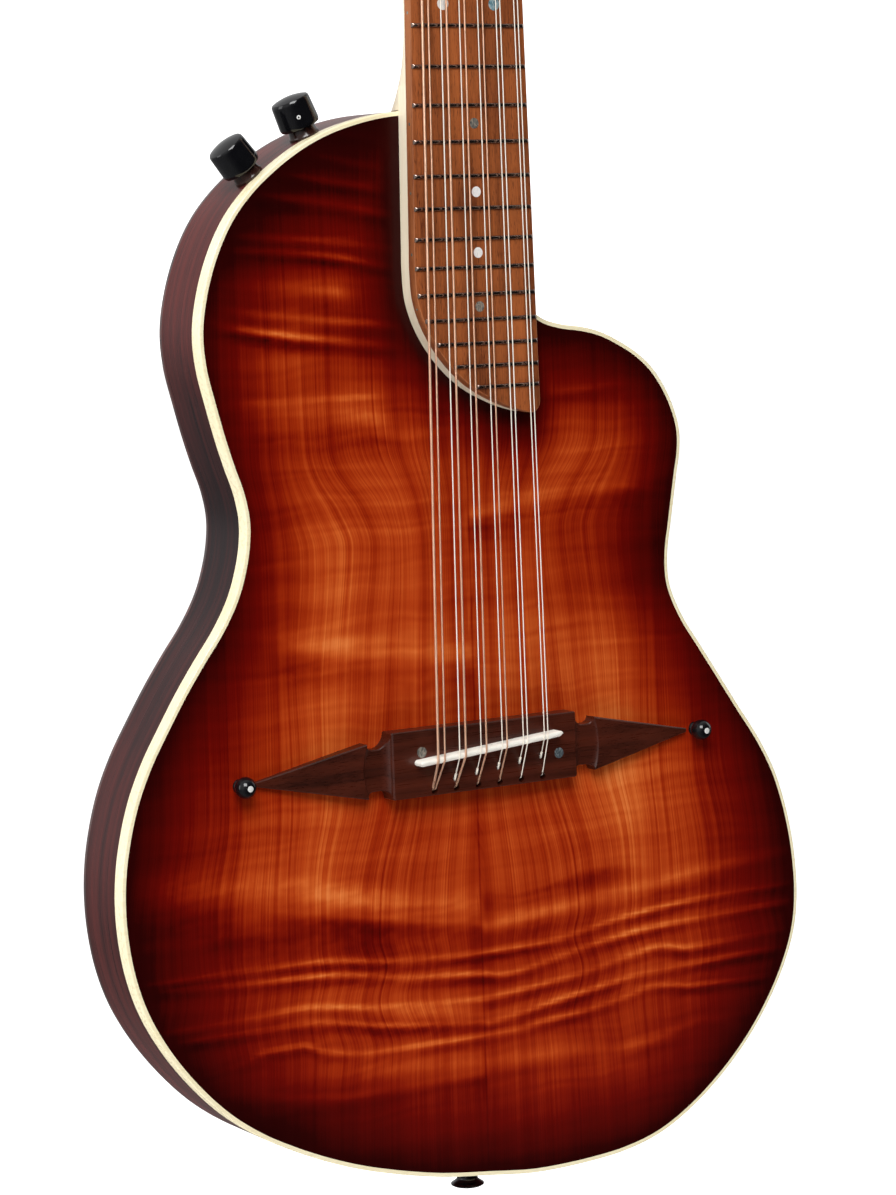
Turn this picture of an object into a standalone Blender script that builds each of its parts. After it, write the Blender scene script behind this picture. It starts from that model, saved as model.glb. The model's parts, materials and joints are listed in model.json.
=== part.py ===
"""Twelve-string, single-cutaway, thin-bodied electro-acoustic guitar, hung upright by its headstock.

The frame: +X is the treble side, -Y is the front (the strings' side), +Z runs towards the headstock.
The origin is on the centre line, at the fret tops' plane, where the fingerboard meets the nut.
All named lengths are in millimetres; new_object() turns them into metres.
"""

from math import cos, pi, radians, sin, tan

import bmesh
import bpy
from mathutils import Matrix, Vector

MM = 0.001
GAP = 0.3                      # clearance between neighbouring pieces

# Strings and fingerboard
SCALE = 648.0                  # nut to the theoretical saddle line, 25 1/2 in
FRETS = 24
FRET_HEIGHT = 1.0
FRET_WIDTH = 2.4
BOARD_TOP = FRET_HEIGHT        # fret tops lie in the plane Y = 0
BOARD_BACK = 6.5
NUT_HALF_WIDTH = 24.3
BOARD_FLARE = 0.0177           # growth of the half width for each millimetre away from the nut
BOARD_TIP = (29.0, -499.0)     # treble corner of the slanted end
BOARD_END = (                  # the slanted end, from the bass edge to the treble corner
    (-31.9, -432.0), (-30.9, -446.0), (-27.3, -457.0), (-21.8, -467.0), (-13.8, -477.0),
    (-3.0, -486.3), (10.0, -493.3), (21.0, -497.4), BOARD_TIP,
)
TIP_ROUND = 5.0

COURSES = 6
COURSE_AT_NUT = 7.85           # spacing of the courses
COURSE_AT_SADDLE = 11.4
PAIR_AT_NUT = (2.8, 2.0)       # spacing inside a pair, bass course and treble course
PAIR_AT_SADDLE = (3.6, 2.0)
STRING_RADII = ((0.60, 0.38), (0.28, 0.50), (0.25, 0.40), (0.25, 0.33), (0.25, 0.25), (0.25, 0.25))
STRING_AT_NUT = -1.0           # Y of a string's centre over the nut
STRING_AT_SADDLE = -2.3
NUT_LENGTH = 6.0

# Body
TOP_FRONT = 14.0               # Y of the soundboard's face
TOP_THICKNESS = 3.2
BODY_BACK = 53.4
BACK_THICKNESS = 3.2
RIM_THICKNESS = 6.0
BINDING_WIDTH = 2.0
BINDING_HEIGHT = 7.0
NECK_SEAM = (0.0, -361.0)
TAIL_SEAM = (0.0, -855.4)
BASS_EDGE = (                  # body edge down the bass side: shoulder, upper bout, waist, lower bout
    (-39, -362), (-80, -375), (-118, -407), (-135, -456), (-126, -503), (-115.5, -540), (-123, -574),
    (-150, -613), (-175, -657), (-184, -705), (-174, -755), (-136, -805), (-86, -834), (-35, -849.8),
)
TREBLE_EDGE = (                # up the treble side: lower bout, waist, horn, cutaway, neck joint
    (36, -859), (98, -852), (150, -816), (180, -769), (184, -733), (172, -682), (140, -632),
    (112, -585), (116, -544), (120, -512), (105, -482), (76, -464), (46, -457.5), (35, -449),
    (32, -430), (31.5, -390), (29, -369), (18, -361.6),
)
SPAN_STEPS = 3                 # stations between two edge points
BRACE_WIDTH = 7.0
BRACE_HEIGHT = 9.5
NECK_BLOCK = (-32.0, 24.0, -424.0)    # x from, x to, z of its inner face
TAIL_BLOCK = (-34.0, 34.0, -824.0)
BRACES = (                     # bars under the soundboard, end to end (x, z, x, z)
    (-95, -452, 105, -790), (80, -500, -105, -790), (-118, -458, 14, -458),
)

# Neck and headstock
NECK_FRONT = BOARD_BACK + GAP
NECK_STATIONS = (              # z, half width factor, depth, roundness of the back
    (6.0, 1.0, 13.4, 2.3), (-60.0, 1.0, 13.8, 2.2), (-200.0, 1.0, 14.4, 2.0), (-318.0, 0.985, 14.8, 1.8),
    (-330.0, 0.98, 16.0, 1.8), (-340.0, 0.97, 20.0, 1.8), (-350.0, 0.96, 29.0, 1.75),
    (-360.4, 0.955, 43.2, 1.7),
)
SECTION_STEPS = 12
HEAD_TILT = radians(10.0)
HEAD_THICKNESS = 14.0
HEAD_HALF_WIDTHS = (           # distance along the headstock, half width
    (0.0, 24.3), (8.0, 25.6), (18.0, 31.0), (30.0, 38.5), (46.0, 41.5), (100.0, 42.0), (160.0, 41.0),
    (186.0, 37.0), (198.0, 26.0), (203.0, 12.0),
)
NECK_ROOT_ON_HEAD = 16.0       # z up to which the neck's shaft runs into the headstock

# Tuners, in the headstock's own frame: x across, y towards its back, z along it
POST_OFFSET = 27.0
FIRST_POST = 34.0
POST_PITCH = 27.0
POSTS_A_SIDE = 6
POST_RADIUS = 3.0
POST_HOLE_RADIUS = 4.1
POST_FRONT = -11.5
STRING_ON_POST = -5.0
STRIP_THICKNESS = 1.5
STRIP_FRONT = HEAD_THICKNESS + GAP
STRIP_ENDS = (16.0, 182.0)     # along the headstock
STRIP_SIDES = (14.0, 39.0)     # away from the centre line
GEAR_RADIUS = 6.5
GEAR_FRONT = STRIP_FRONT + STRIP_THICKNESS + 1.1
GEAR_THICKNESS = 4.2
WORM_RADIUS = 2.8
WORM_HALF_LENGTH = 4.5
SHAFT_RADIUS = 1.5
WORM_DEPTH = GEAR_FRONT + GEAR_THICKNESS / 2
WORM_OFFSET = GEAR_RADIUS + WORM_RADIUS + GAP
LUG_PLACES = (-7.0, 8.5)       # along the worm's shaft, from the gear's middle
LUG_WIDTH = 2.4
LUG_HALF_LENGTH = 3.4

# Truss rod
ROD_WIDTH = 6.0
ROD_BACK = 16.4
ROD_ENDS = (-352.0, 8.4)
ROD_NUT_Y = 13.2
ROD_NUT_RADIUS = 3.4
ROD_NUT_ENDS = (8.8, 21.0)

# Bridge
DECK_Y = 5.0
BRIDGE_BACK = TOP_FRONT - GAP
BRIDGE_STATIONS = (            # x, half length along z, height, centre z
    (50.0, 15.4, 8.7, -655.3), (52.5, 11.6, 7.6, -655.8), (57.5, 9.6, 6.2, -656.2),
    (61.5, 11.4, 6.6, -656.4), (63.5, 12.6, 6.4, -656.5), (117.5, 0.9, 2.6, -656.7),
)
SADDLE_ENDS = ((-40.0, -654.9), (40.0, -648.3))
SADDLE_WIDTH = 3.2
SADDLE_TOP = -1.4
SADDLE_BACK = 8.4
PICKUP_BACK = 10.2
ANCHOR_Z = -665.5
ANCHOR_Y = 9.2
ANCHOR_RADIUS = 1.5
ANCHOR_OVERHANG = 1.4          # how far the anchor bar runs past a course's two strings
POCKET_MARGIN = 2.0            # room beside a course in its pocket in the bridge
POCKET_ENDS = (-668.0, -657.8)
PIN_PLACE = (124.0, -656.7)
PIN_BALL_RADIUS = 5.4
PIN_STEM_RADIUS = 2.4
PIN_HOLE_RADIUS = 2.9

# Controls and fittings: place on the body edge (x, z), y, direction of the axis in degrees from +X
KNOBS = {"volume": (-100.6, -388.5, 27.0, 129.5), "tone": (-72.2, -371.3, 26.0, 113.5)}
KNOB_RADIUS = 8.8
KNOB_FOOT = 4.4
KNOB_TOP = 18.4
POT_RADIUS = 8.5
BUSH_RADIUS = 4.7
BUSH_BORE = 3.3
BUSH_TOP = 3.9
WASHER_RADIUS = 7.4
KNOB_STEM_RADIUS = 3.0
MID_Y = 33.7                   # half way through the body's depth
JACK_RADIUS = 7.9
JACK_WASHER_RADIUS = 7.0
JACK_WAIST = 5.0
JACK_BARREL = 4.75
JACK_BORE = 3.175
JACK_TIP = -864.8
JACK_FLANGE = -856.8
STRAP_Z = -386.0
STRAP_STEM_RADIUS = 1.6
COVER = ((-108.0, -462.0), (-44.0, -412.0))   # low and high corner (x, z) of the hatch's lid
COVER_LEDGE = 6.0              # how far the lid laps over the back round its opening
COVER_ROUND = 5.0
COVER_THICKNESS = 1.8


def clear_scene():
    for obj in list(bpy.data.objects):
        bpy.data.objects.remove(obj, do_unlink=True)


def material(name, colour, roughness, metallic=0.0):
    made = bpy.data.materials.get(name)
    if made:
        return made
    made = bpy.data.materials.new(name)
    made.use_nodes = True
    shader = made.node_tree.nodes["Principled BSDF"]
    shader.inputs["Base Color"].default_value = (*colour, 1.0)
    shader.inputs["Roughness"].default_value = roughness
    shader.inputs["Metallic"].default_value = metallic
    return made


def new_object(name, shape, finish=None, place=None, parent=None):
    """One object from (points, faces) in millimetres, placed by a matrix in its parent's frame."""
    points, faces = shape
    mesh = bpy.data.meshes.new(name)
    mesh.from_pydata([Vector(p) * MM for p in points], [], faces)
    work = bmesh.new()
    work.from_mesh(mesh)
    bmesh.ops.recalc_face_normals(work, faces=work.faces)
    work.to_mesh(mesh)
    work.free()
    obj = bpy.data.objects.new(name, mesh)
    bpy.context.scene.collection.objects.link(obj)
    if finish:
        mesh.materials.append(finish)
    if parent:
        obj.parent = parent
    if place:
        obj.matrix_basis = place
    return obj


def shade_round(obj):
    obj.data.shade_smooth()
    obj.data.set_sharp_from_angle(angle=radians(35))
    return obj


def frame_at(x, y, z, turn=None):
    """A matrix for a place given in millimetres, with an optional rotation matrix."""
    return Matrix.Translation(Vector((x, y, z)) * MM) @ (turn or Matrix())


def empty(name, place, parent=None):
    obj = bpy.data.objects.new(name, None)
    bpy.context.scene.collection.objects.link(obj)
    obj.parent = parent
    obj.matrix_basis = place
    return obj


# Shapes: each returns (points, faces) in millimetres

def box(low, high):
    points = [(x, y, z) for x in (low[0], high[0]) for y in (low[1], high[1]) for z in (low[2], high[2])]
    faces = [(0, 1, 3, 2), (4, 6, 7, 5), (0, 4, 5, 1), (2, 3, 7, 6), (0, 2, 6, 4), (1, 5, 7, 3)]
    return points, faces


def prism(outline, front, back):
    """A flat plate whose (x, z) outline runs from Y = front to Y = back."""
    count = len(outline)
    points = [(x, y, z) for y in (front, back) for x, z in outline]
    faces = [tuple(range(count)), tuple(range(2 * count - 1, count - 1, -1))]
    faces += [(i, (i + 1) % count, (i + 1) % count + count, i + count) for i in range(count)]
    return points, faces


def loft(sections, closed=False):
    """A skin over sections of equal length; an open one gets both end faces."""
    count = len(sections[0])
    points = [point for section in sections for point in section]
    spans = len(sections) if closed else len(sections) - 1
    faces = []
    for i in range(spans):
        here = i * count
        there = (i + 1) % len(sections) * count
        for j in range(count):
            k = (j + 1) % count
            faces.append((here + j, here + k, there + k, there + j))
    if not closed:
        last = (len(sections) - 1) * count
        faces += [tuple(range(count)), tuple(range(last + count - 1, last - 1, -1))]
    return points, faces


def lathe(profile, segments):
    """A body turned about Z from (radius, z) or (radius x, radius y, z) rows, with flat ends."""
    rows = [(row[0], row[-2], row[-1]) for row in profile]
    sections = []
    turns = [2 * pi * k / segments for k in range(segments)]
    for across, deep, z in rows:
        sections.append([(across * cos(turn), deep * sin(turn), z) for turn in turns])
    return loft(sections)


def several(shapes):
    """Separate shapes as one mesh, for a cutter that makes several holes at once."""
    points, faces = [], []
    for shape_points, shape_faces in shapes:
        start = len(points)
        points += shape_points
        faces += [tuple(i + start for i in face) for face in shape_faces]
    return points, faces


def moved(shape, matrix):
    """A shape carried by a matrix whose translation is in millimetres."""
    points, faces = shape
    return [tuple(matrix @ Vector(point)) for point in points], faces


def rod_between(start, end, radius, segments=6):
    start, end = Vector(start), Vector(end)
    turn = (end - start).to_track_quat("Z", "Y").to_matrix().to_4x4()
    rod = lathe(((radius, 0.0), (radius, (end - start).length)), segments)
    return moved(rod, Matrix.Translation(start) @ turn)


def bored(outer, inner, segments):
    """A turned body with a blind bore that opens at its last row: the inner rows run back down."""
    return lathe(tuple(outer) + tuple(reversed(inner)), segments)


def combine(obj, operation, shape, place=None, parent=None):
    """Adds an exact Boolean with a hidden operand."""
    tool = new_object(f"{obj.name}_{operation.lower()}_{len(obj.modifiers)}", shape, None, place, parent)
    tool.hide_render = True
    tool.display_type = "WIRE"
    step = obj.modifiers.new(operation.title(), "BOOLEAN")
    step.operation = operation
    step.solver = "EXACT"
    step.object = tool
    return obj


def cut(obj, shape, place=None, parent=None):
    return combine(obj, "DIFFERENCE", shape, place, parent)


def add(obj, shape, place=None, parent=None):
    return combine(obj, "UNION", shape, place, parent)


# The body's edge

def edge_stations():
    """Closed centripetal spline round the body edge, from the neck seam down the bass side and back up.

    Each station is (point, outward normal). The travel is anticlockwise seen from the front, so the
    outside lies on its right.
    """
    knots = [Vector(p) for p in (NECK_SEAM, *BASS_EDGE, TAIL_SEAM, *TREBLE_EDGE)]
    count = len(knots)
    steps = [(knots[(i + 1) % count] - knots[i]).length ** 0.5 for i in range(count)]
    slopes = []
    for i in range(count):
        before, after = steps[i - 1], steps[i]
        into = (knots[i] - knots[i - 1]) / before
        out = (knots[(i + 1) % count] - knots[i]) / after
        slopes.append((into * after + out * before) / (before + after))
    stations = []
    for i in range(count):
        a, b = knots[i], knots[(i + 1) % count]
        da, db = slopes[i] * steps[i], slopes[(i + 1) % count] * steps[i]
        for k in range(SPAN_STEPS):
            t = k / SPAN_STEPS
            point = (
                a * (2 * t**3 - 3 * t**2 + 1) + da * (t**3 - 2 * t**2 + t)
                + b * (3 * t**2 - 2 * t**3) + db * (t**3 - t**2)
            )
            along = (
                a * (6 * t**2 - 6 * t) + da * (3 * t**2 - 4 * t + 1)
                + b * (6 * t - 6 * t**2) + db * (3 * t**2 - 2 * t)
            ).normalized()
            stations.append((point, Vector((along.y, -along.x))))
    return stations


def inset(stations, distance):
    return [tuple(point - normal * distance) for point, normal in stations]


def between(stations, low, high, upper):
    """The stretch of an inset edge with x from low to high, on the neck's or the tail's end."""
    picked = [(x, z) for x, z in stations if low <= x <= high and (z > -500) == upper]
    return sorted(picked)


# Strings

def course_share(index):
    return index / (COURSES - 1)


def string_x(course, which, at_nut):
    pitch = COURSE_AT_NUT if at_nut else COURSE_AT_SADDLE
    bass, treble = PAIR_AT_NUT if at_nut else PAIR_AT_SADDLE
    pair = bass + (treble - bass) * course_share(course)
    return pitch * (course - (COURSES - 1) / 2) + pair * (which - 0.5)


def saddle_z(x):
    (x0, z0), (x1, z1) = SADDLE_ENDS
    return z0 + (z1 - z0) * (x - x0) / (x1 - x0)


def head_place():
    return Matrix.Translation((0.0, NECK_FRONT, NUT_LENGTH)) @ Matrix.Rotation(-HEAD_TILT, 4, "X")


def post_place(course, which):
    """Side sign and place along the headstock of the post that takes one string."""
    side = -1 if course < COURSES / 2 else 1
    order = 2 * course + which
    from_edge = order if side < 0 else 2 * COURSES - 1 - order
    return side, FIRST_POST + POST_PITCH * from_edge


def fret_z(number):
    return -SCALE * (1 - 2 ** (-number / 12))


def board_half_width(z):
    return NUT_HALF_WIDTH + BOARD_FLARE * abs(z)


def board_outline():
    tip_x, tip_z = BOARD_TIP
    right = board_half_width(tip_z)
    corner = [
        (right - TIP_ROUND + TIP_ROUND * sin(a), tip_z + TIP_ROUND - TIP_ROUND * cos(a))
        for a in (radians(40), radians(65), radians(90))
    ]
    return [(-NUT_HALF_WIDTH, 0.0), *BOARD_END, *corner, (NUT_HALF_WIDTH, 0.0)]


def make_body(stations):
    maple = material("binding_maple", (0.86, 0.74, 0.50), 0.3)
    redwood = material("redwood_sunburst", (0.42, 0.09, 0.03), 0.2)
    rosewood = material("rosewood_burgundy", (0.14, 0.03, 0.025), 0.25)
    spruce = material("spruce", (0.80, 0.64, 0.42), 0.7)
    mahogany = material("mahogany", (0.45, 0.22, 0.12), 0.7)

    top_back = TOP_FRONT + TOP_THICKNESS
    back_front = BODY_BACK - BACK_THICKNESS
    outline = inset(stations, BINDING_WIDTH + GAP)
    board = new_object("soundboard", prism(outline, TOP_FRONT, top_back), redwood)
    pin_x, pin_z = PIN_PLACE
    pin_holes = []
    for x in (-pin_x, pin_x):
        pin_holes.append(rod_between((x, TOP_FRONT - 3, pin_z), (x, top_back + 3, pin_z), PIN_HOLE_RADIUS, 8))
    cut(board, several(pin_holes))

    bound = []
    for point, normal in stations:
        inner = point - normal * BINDING_WIDTH
        bound.append([
            (p.x, y, p.y) for p, y in (
                (point, TOP_FRONT), (point, TOP_FRONT + BINDING_HEIGHT),
                (inner, TOP_FRONT + BINDING_HEIGHT), (inner, TOP_FRONT),
            )
        ])
    new_object("top_binding", loft(bound, closed=True), maple)

    tail = SPAN_STEPS * (len(BASS_EDGE) + 1)
    jack_hole = rod_between((0, MID_Y, JACK_TIP), (0, MID_Y, -815), JACK_BARREL + 0.4, 12)
    knob_holes = []
    for spec in KNOBS.values():
        knob_holes.append(rod_between(knob_point(spec, 10), knob_point(spec, -12), BUSH_RADIUS + 0.4, 12))
    for name, run in (
        ("bass_side", stations[: tail + 1]), ("treble_side", stations[tail:] + stations[:1]),
    ):
        side = new_object(name, loft(rim_sections(run, top_back + GAP, back_front - GAP)), rosewood)
        cut(side, jack_hole)
        if name == "bass_side":
            cut(side, several(knob_holes))

    (x0, z0), (x1, z1) = COVER
    back = new_object("back_plate", prism(inset(stations, 0.0), back_front, BODY_BACK), rosewood)
    ledge = COVER_LEDGE
    hatch = box((x0 + ledge, back_front - 3, z0 + ledge), (x1 - ledge, BODY_BACK + 3, z1 - ledge))
    strap_radius = STRAP_STEM_RADIUS + 1.0
    strap_hole = rod_between((0, back_front - 3, STRAP_Z), (0, BODY_BACK + 3, STRAP_Z), strap_radius, 8)
    cut(back, several([hatch, strap_hole]))

    inner = inset(stations, RIM_THICKNESS + GAP)
    neck_block = new_object("neck_block", block(inner, NECK_BLOCK, True), mahogany)
    cut(neck_block, rod_between((0, BODY_BACK - 15.2, STRAP_Z), (0, BODY_BACK + 6, STRAP_Z), STRAP_STEM_RADIUS + 0.5, 8))
    tail_block = new_object("tail_block", block(inner, TAIL_BLOCK, False), mahogany)
    cut(tail_block, jack_hole)

    bars = []
    for x0, z0, x1, z1 in BRACES:
        along = Vector((x1 - x0, z1 - z0)).normalized() * BRACE_WIDTH / 2
        side = Vector((-along.y, along.x))
        start, end = Vector((x0, z0)), Vector((x1, z1))
        corners = [start + side, start - side, end - side, end + side]
        bars.append(prism([tuple(c) for c in corners], top_back + GAP, top_back + GAP + BRACE_HEIGHT))
    bracing = new_object("bracing", bars[0], spruce)
    for bar in bars[1:]:
        add(bracing, bar)


def block(inner, ends, upper):
    """A block glued between soundboard and back, shaped to the inside of the rim at one end of the body."""
    low, high, z = ends
    outline = [*between(inner, low, high, upper), (high, z), (low, z)]
    return prism(outline, TOP_FRONT + TOP_THICKNESS + GAP, BODY_BACK - BACK_THICKNESS - GAP)


def rim_sections(run, shelf, back):
    """The rim's section is stepped: its front outer corner is rebated for the binding."""
    binding_back = TOP_FRONT + BINDING_HEIGHT + GAP
    rebate = BINDING_WIDTH + GAP
    sections = []
    for index, (point, normal) in enumerate(run):
        along = Vector((normal.y, -normal.x))
        if index == 0:
            ahead = run[1][0] - point
        elif index == len(run) - 1:
            ahead = run[-2][0] - point
        else:
            ahead = None
        if ahead is not None:
            point = point + along * (GAP / 2 if along.dot(ahead) > 0 else -GAP / 2)
        rows = (
            (0.0, binding_back), (0.0, back), (RIM_THICKNESS, back), (RIM_THICKNESS, shelf),
            (rebate, shelf), (rebate, binding_back),
        )
        sections.append([((point - normal * d).x, y, (point - normal * d).y) for d, y in rows])
    return sections


def make_neck():
    maple = material("neck_maple", (0.80, 0.64, 0.40), 0.35)
    sections = [neck_section(NECK_ROOT_ON_HEAD, 0.97, NECK_FRONT + 2.0, 12.6, 2.3)]
    for z, factor, depth, power in NECK_STATIONS:
        sections.append(neck_section(z, factor, NECK_FRONT, depth, power))
    neck = new_object("neck", loft(sections), maple)
    tongue = [(x, min(z, -352.0)) for x, z in board_outline()]
    add(neck, prism(shrink_sides(tongue), NECK_FRONT + 0.02, TOP_FRONT - GAP))
    outline = [(-w, v) for v, w in HEAD_HALF_WIDTHS] + [(w, v) for v, w in reversed(HEAD_HALF_WIDTHS)]
    add(neck, moved(prism(outline, 0.0, HEAD_THICKNESS), head_place()))
    holes = []
    for side in (-1, 1):
        for index in range(POSTS_A_SIDE):
            z = FIRST_POST + POST_PITCH * index
            start = (side * POST_OFFSET, -4.0, z)
            end = (side * POST_OFFSET, HEAD_THICKNESS + 4.0, z)
            holes.append(moved(rod_between(start, end, POST_HOLE_RADIUS, 8), head_place()))
    cut(neck, several(holes))
    half = ROD_WIDTH / 2 + GAP
    cut(neck, box((-half, 0, ROD_ENDS[0] - GAP), (half, ROD_BACK + GAP, 12.0)))
    cut(neck, box((-5.0, 0, 7.0), (5.0, ROD_BACK + GAP + 0.4, 33.0)))
    rod = box((-ROD_WIDTH / 2, NECK_FRONT + 0.6, ROD_ENDS[0]), (ROD_WIDTH / 2, ROD_BACK, ROD_ENDS[1]))
    new_object("truss_rod", rod, material("steel", (0.6, 0.6, 0.62), 0.3, 1.0))
    length = ROD_NUT_ENDS[1] - ROD_NUT_ENDS[0]
    socket_radius, socket_floor = 2.0, 5.0
    rod_nut = bored(
        ((ROD_NUT_RADIUS, 0.0), (ROD_NUT_RADIUS, length)),
        ((socket_radius, socket_floor), (socket_radius, length)), 12,
    )
    new_object(
        "truss_rod_nut", rod_nut, material("brass", (0.72, 0.55, 0.25), 0.3, 1.0),
        frame_at(0, ROD_NUT_Y, ROD_NUT_ENDS[0]),
    )


def shrink_sides(outline):
    """The neck tongue follows the fingerboard's outline, a little inside it."""
    return [(x * 0.985, z + (0.4 if z < -400 else 0.0)) for x, z in outline]


def neck_section(z, factor, front, depth, power):
    half = board_half_width(z) * factor
    section = []
    for k in range(SECTION_STEPS + 1):
        turn = pi * k / SECTION_STEPS
        c, s = cos(turn), sin(turn)
        x = half * (abs(c) ** (2 / power)) * (1 if c >= 0 else -1)
        section.append((x, front + depth * abs(s) ** (2 / power), z))
    return section


def make_fingerboard():
    wood = material("fingerboard_wood", (0.24, 0.10, 0.05), 0.45)
    board = new_object("fingerboard", prism(board_outline(), BOARD_TOP, BOARD_BACK), wood)
    bars = []
    for number in range(1, FRETS + 1):
        z = fret_z(number)
        left = -board_half_width(z) + 0.5
        for (xa, za), (xb, zb) in zip(BOARD_END[:-1], BOARD_END[1:]):
            low = z - FRET_WIDTH / 2
            if zb < low <= za:
                left = xa + (xb - xa) * (low - za) / (zb - za) + 0.8
        right = board_half_width(z) - 0.5
        bars.append(box((left, 0.0, z - FRET_WIDTH / 2), (right, BOARD_TOP + 1.0, z + FRET_WIDTH / 2)))
    add(board, several(bars))
    crest = STRING_AT_NUT + 0.9
    head_side = NUT_LENGTH - 0.2
    profile = (
        (BOARD_BACK, GAP), (crest, GAP), (crest, 2.6), (crest + 1.8, head_side), (BOARD_BACK, head_side),
    )
    nut_shape = loft([[(x, y, z) for y, z in profile] for x in (-NUT_HALF_WIDTH, NUT_HALF_WIDTH)])
    new_object("nut", nut_shape, material("bone", (0.88, 0.84, 0.72), 0.35))


def make_headstock(frame):
    black = material("black_metal", (0.02, 0.02, 0.022), 0.35, 0.6)
    nickel = material("nickel", (0.62, 0.60, 0.57), 0.25, 1.0)
    brass = material("brass", (0.72, 0.55, 0.25), 0.3, 1.0)
    right_half = ((13, 2), (13, 12), (8, 26), (3.5, 36))
    bell = [*right_half, *((-x, z) for x, z in reversed(right_half))]
    plastic = material("black_plastic", (0.02, 0.02, 0.02), 0.3)
    new_object("truss_rod_cover", prism(bell, -2.1, -GAP), plastic, None, frame)

    post = (
        (GEAR_RADIUS, GEAR_FRONT + GEAR_THICKNESS), (GEAR_RADIUS, GEAR_FRONT), (POST_RADIUS, GEAR_FRONT),
        (POST_RADIUS, POST_FRONT + 1.0), (POST_RADIUS - 1.0, POST_FRONT),
    )
    button = (
        (SHAFT_RADIUS, -9.4), (SHAFT_RADIUS, -WORM_HALF_LENGTH), (WORM_RADIUS, -WORM_HALF_LENGTH),
        (WORM_RADIUS, WORM_HALF_LENGTH), (SHAFT_RADIUS, WORM_HALF_LENGTH), (SHAFT_RADIUS, 19.5),
        (4.0, 3.0, 20.0), (8.2, 3.8, 24.0), (9.2, 3.6, 29.0), (7.4, 2.8, 34.0), (3.0, 1.6, 36.0),
    )
    along_post = Matrix.Rotation(-pi / 2, 4, "X")
    for side, name in ((-1, "bass"), (1, "treble")):
        out = Matrix.Rotation(side * pi / 2, 4, "Y")
        low, high = sorted(side * x for x in STRIP_SIDES)
        strip_back = STRIP_FRONT + STRIP_THICKNESS
        plate = box((low, STRIP_FRONT, STRIP_ENDS[0]), (high, strip_back, STRIP_ENDS[1]))
        strip = new_object(f"tuner_strip_{name}", plate, nickel, None, frame)
        lugs, holes = [], []
        for index in range(POSTS_A_SIDE):
            z = FIRST_POST + POST_PITCH * index
            worm_z = z - WORM_OFFSET
            for place in LUG_PLACES:
                x = side * (POST_OFFSET + place)
                lugs.append(box(
                    (x - LUG_WIDTH / 2, STRIP_FRONT + 0.6, worm_z - LUG_HALF_LENGTH),
                    (x + LUG_WIDTH / 2, WORM_DEPTH + 3.6, worm_z + LUG_HALF_LENGTH),
                ))
            past_low, past_high = side * (STRIP_SIDES[0] - 2), side * (STRIP_SIDES[1] + 3)
            holes.append(rod_between(
                (past_low, WORM_DEPTH, worm_z), (past_high, WORM_DEPTH, worm_z), SHAFT_RADIUS + GAP, 8
            ))
            x = side * POST_OFFSET
            holes.append(rod_between((x, STRIP_FRONT - 2, z), (x, GEAR_FRONT + 0.2, z), POST_RADIUS + 0.6, 8))
            post_frame = frame_at(x, 0, z, along_post)
            new_object(f"post_{name}_{index + 1}", lathe(post, 12), brass, post_frame, frame)
            button_frame = frame_at(x, WORM_DEPTH, worm_z, out)
            new_object(f"tuner_button_{name}_{index + 1}", lathe(button, 8), black, button_frame, frame)
        add(strip, several(lugs), None, frame)
        cut(strip, several(holes), None, frame)


def make_strings():
    bronze = material("bronze_wound", (0.62, 0.42, 0.24), 0.35, 1.0)
    for course in range(COURSES):
        low = string_x(course, 0, False) - ANCHOR_OVERHANG
        high = string_x(course, 1, False) + ANCHOR_OVERHANG
        anchor = rod_between((low, ANCHOR_Y, ANCHOR_Z), (high, ANCHOR_Y, ANCHOR_Z), ANCHOR_RADIUS, 8)
        strings = new_object(f"string_course_{course + 1}", anchor, bronze)
        for which in (0, 1):
            add(strings, string_shape(course, which))


def string_shape(course, which):
    """One string, square in section: up from its anchor, over saddle and nut, and on to its post."""
    radius = STRING_RADII[course][which]
    saddle_x, nut_x = string_x(course, which, False), string_x(course, which, True)
    side, along = post_place(course, which)
    post = head_place() @ Vector((side * (POST_OFFSET - POST_RADIUS - 1.6), STRING_ON_POST, along - 1.0))
    behind_saddle = saddle_z(saddle_x) - SADDLE_WIDTH / 2 - 0.8
    route = [
        Vector((saddle_x, ANCHOR_Y, ANCHOR_Z)), Vector((saddle_x, STRING_AT_SADDLE, behind_saddle)),
        Vector((nut_x, STRING_AT_NUT, NUT_LENGTH / 2)), post,
    ]
    quarters = (0, pi / 2, pi, 3 * pi / 2)
    sections = []
    for i, point in enumerate(route):
        before = (point - route[i - 1]).normalized() if i else (route[1] - point).normalized()
        after = (route[i + 1] - point).normalized() if i < len(route) - 1 else before
        ahead = (before + after).normalized()
        across = Vector((0, 1, 0)).cross(ahead).normalized()
        up = ahead.cross(across)
        sections.append([tuple(point + (across * cos(a) + up * sin(a)) * radius) for a in quarters])
    return loft(sections)


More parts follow.
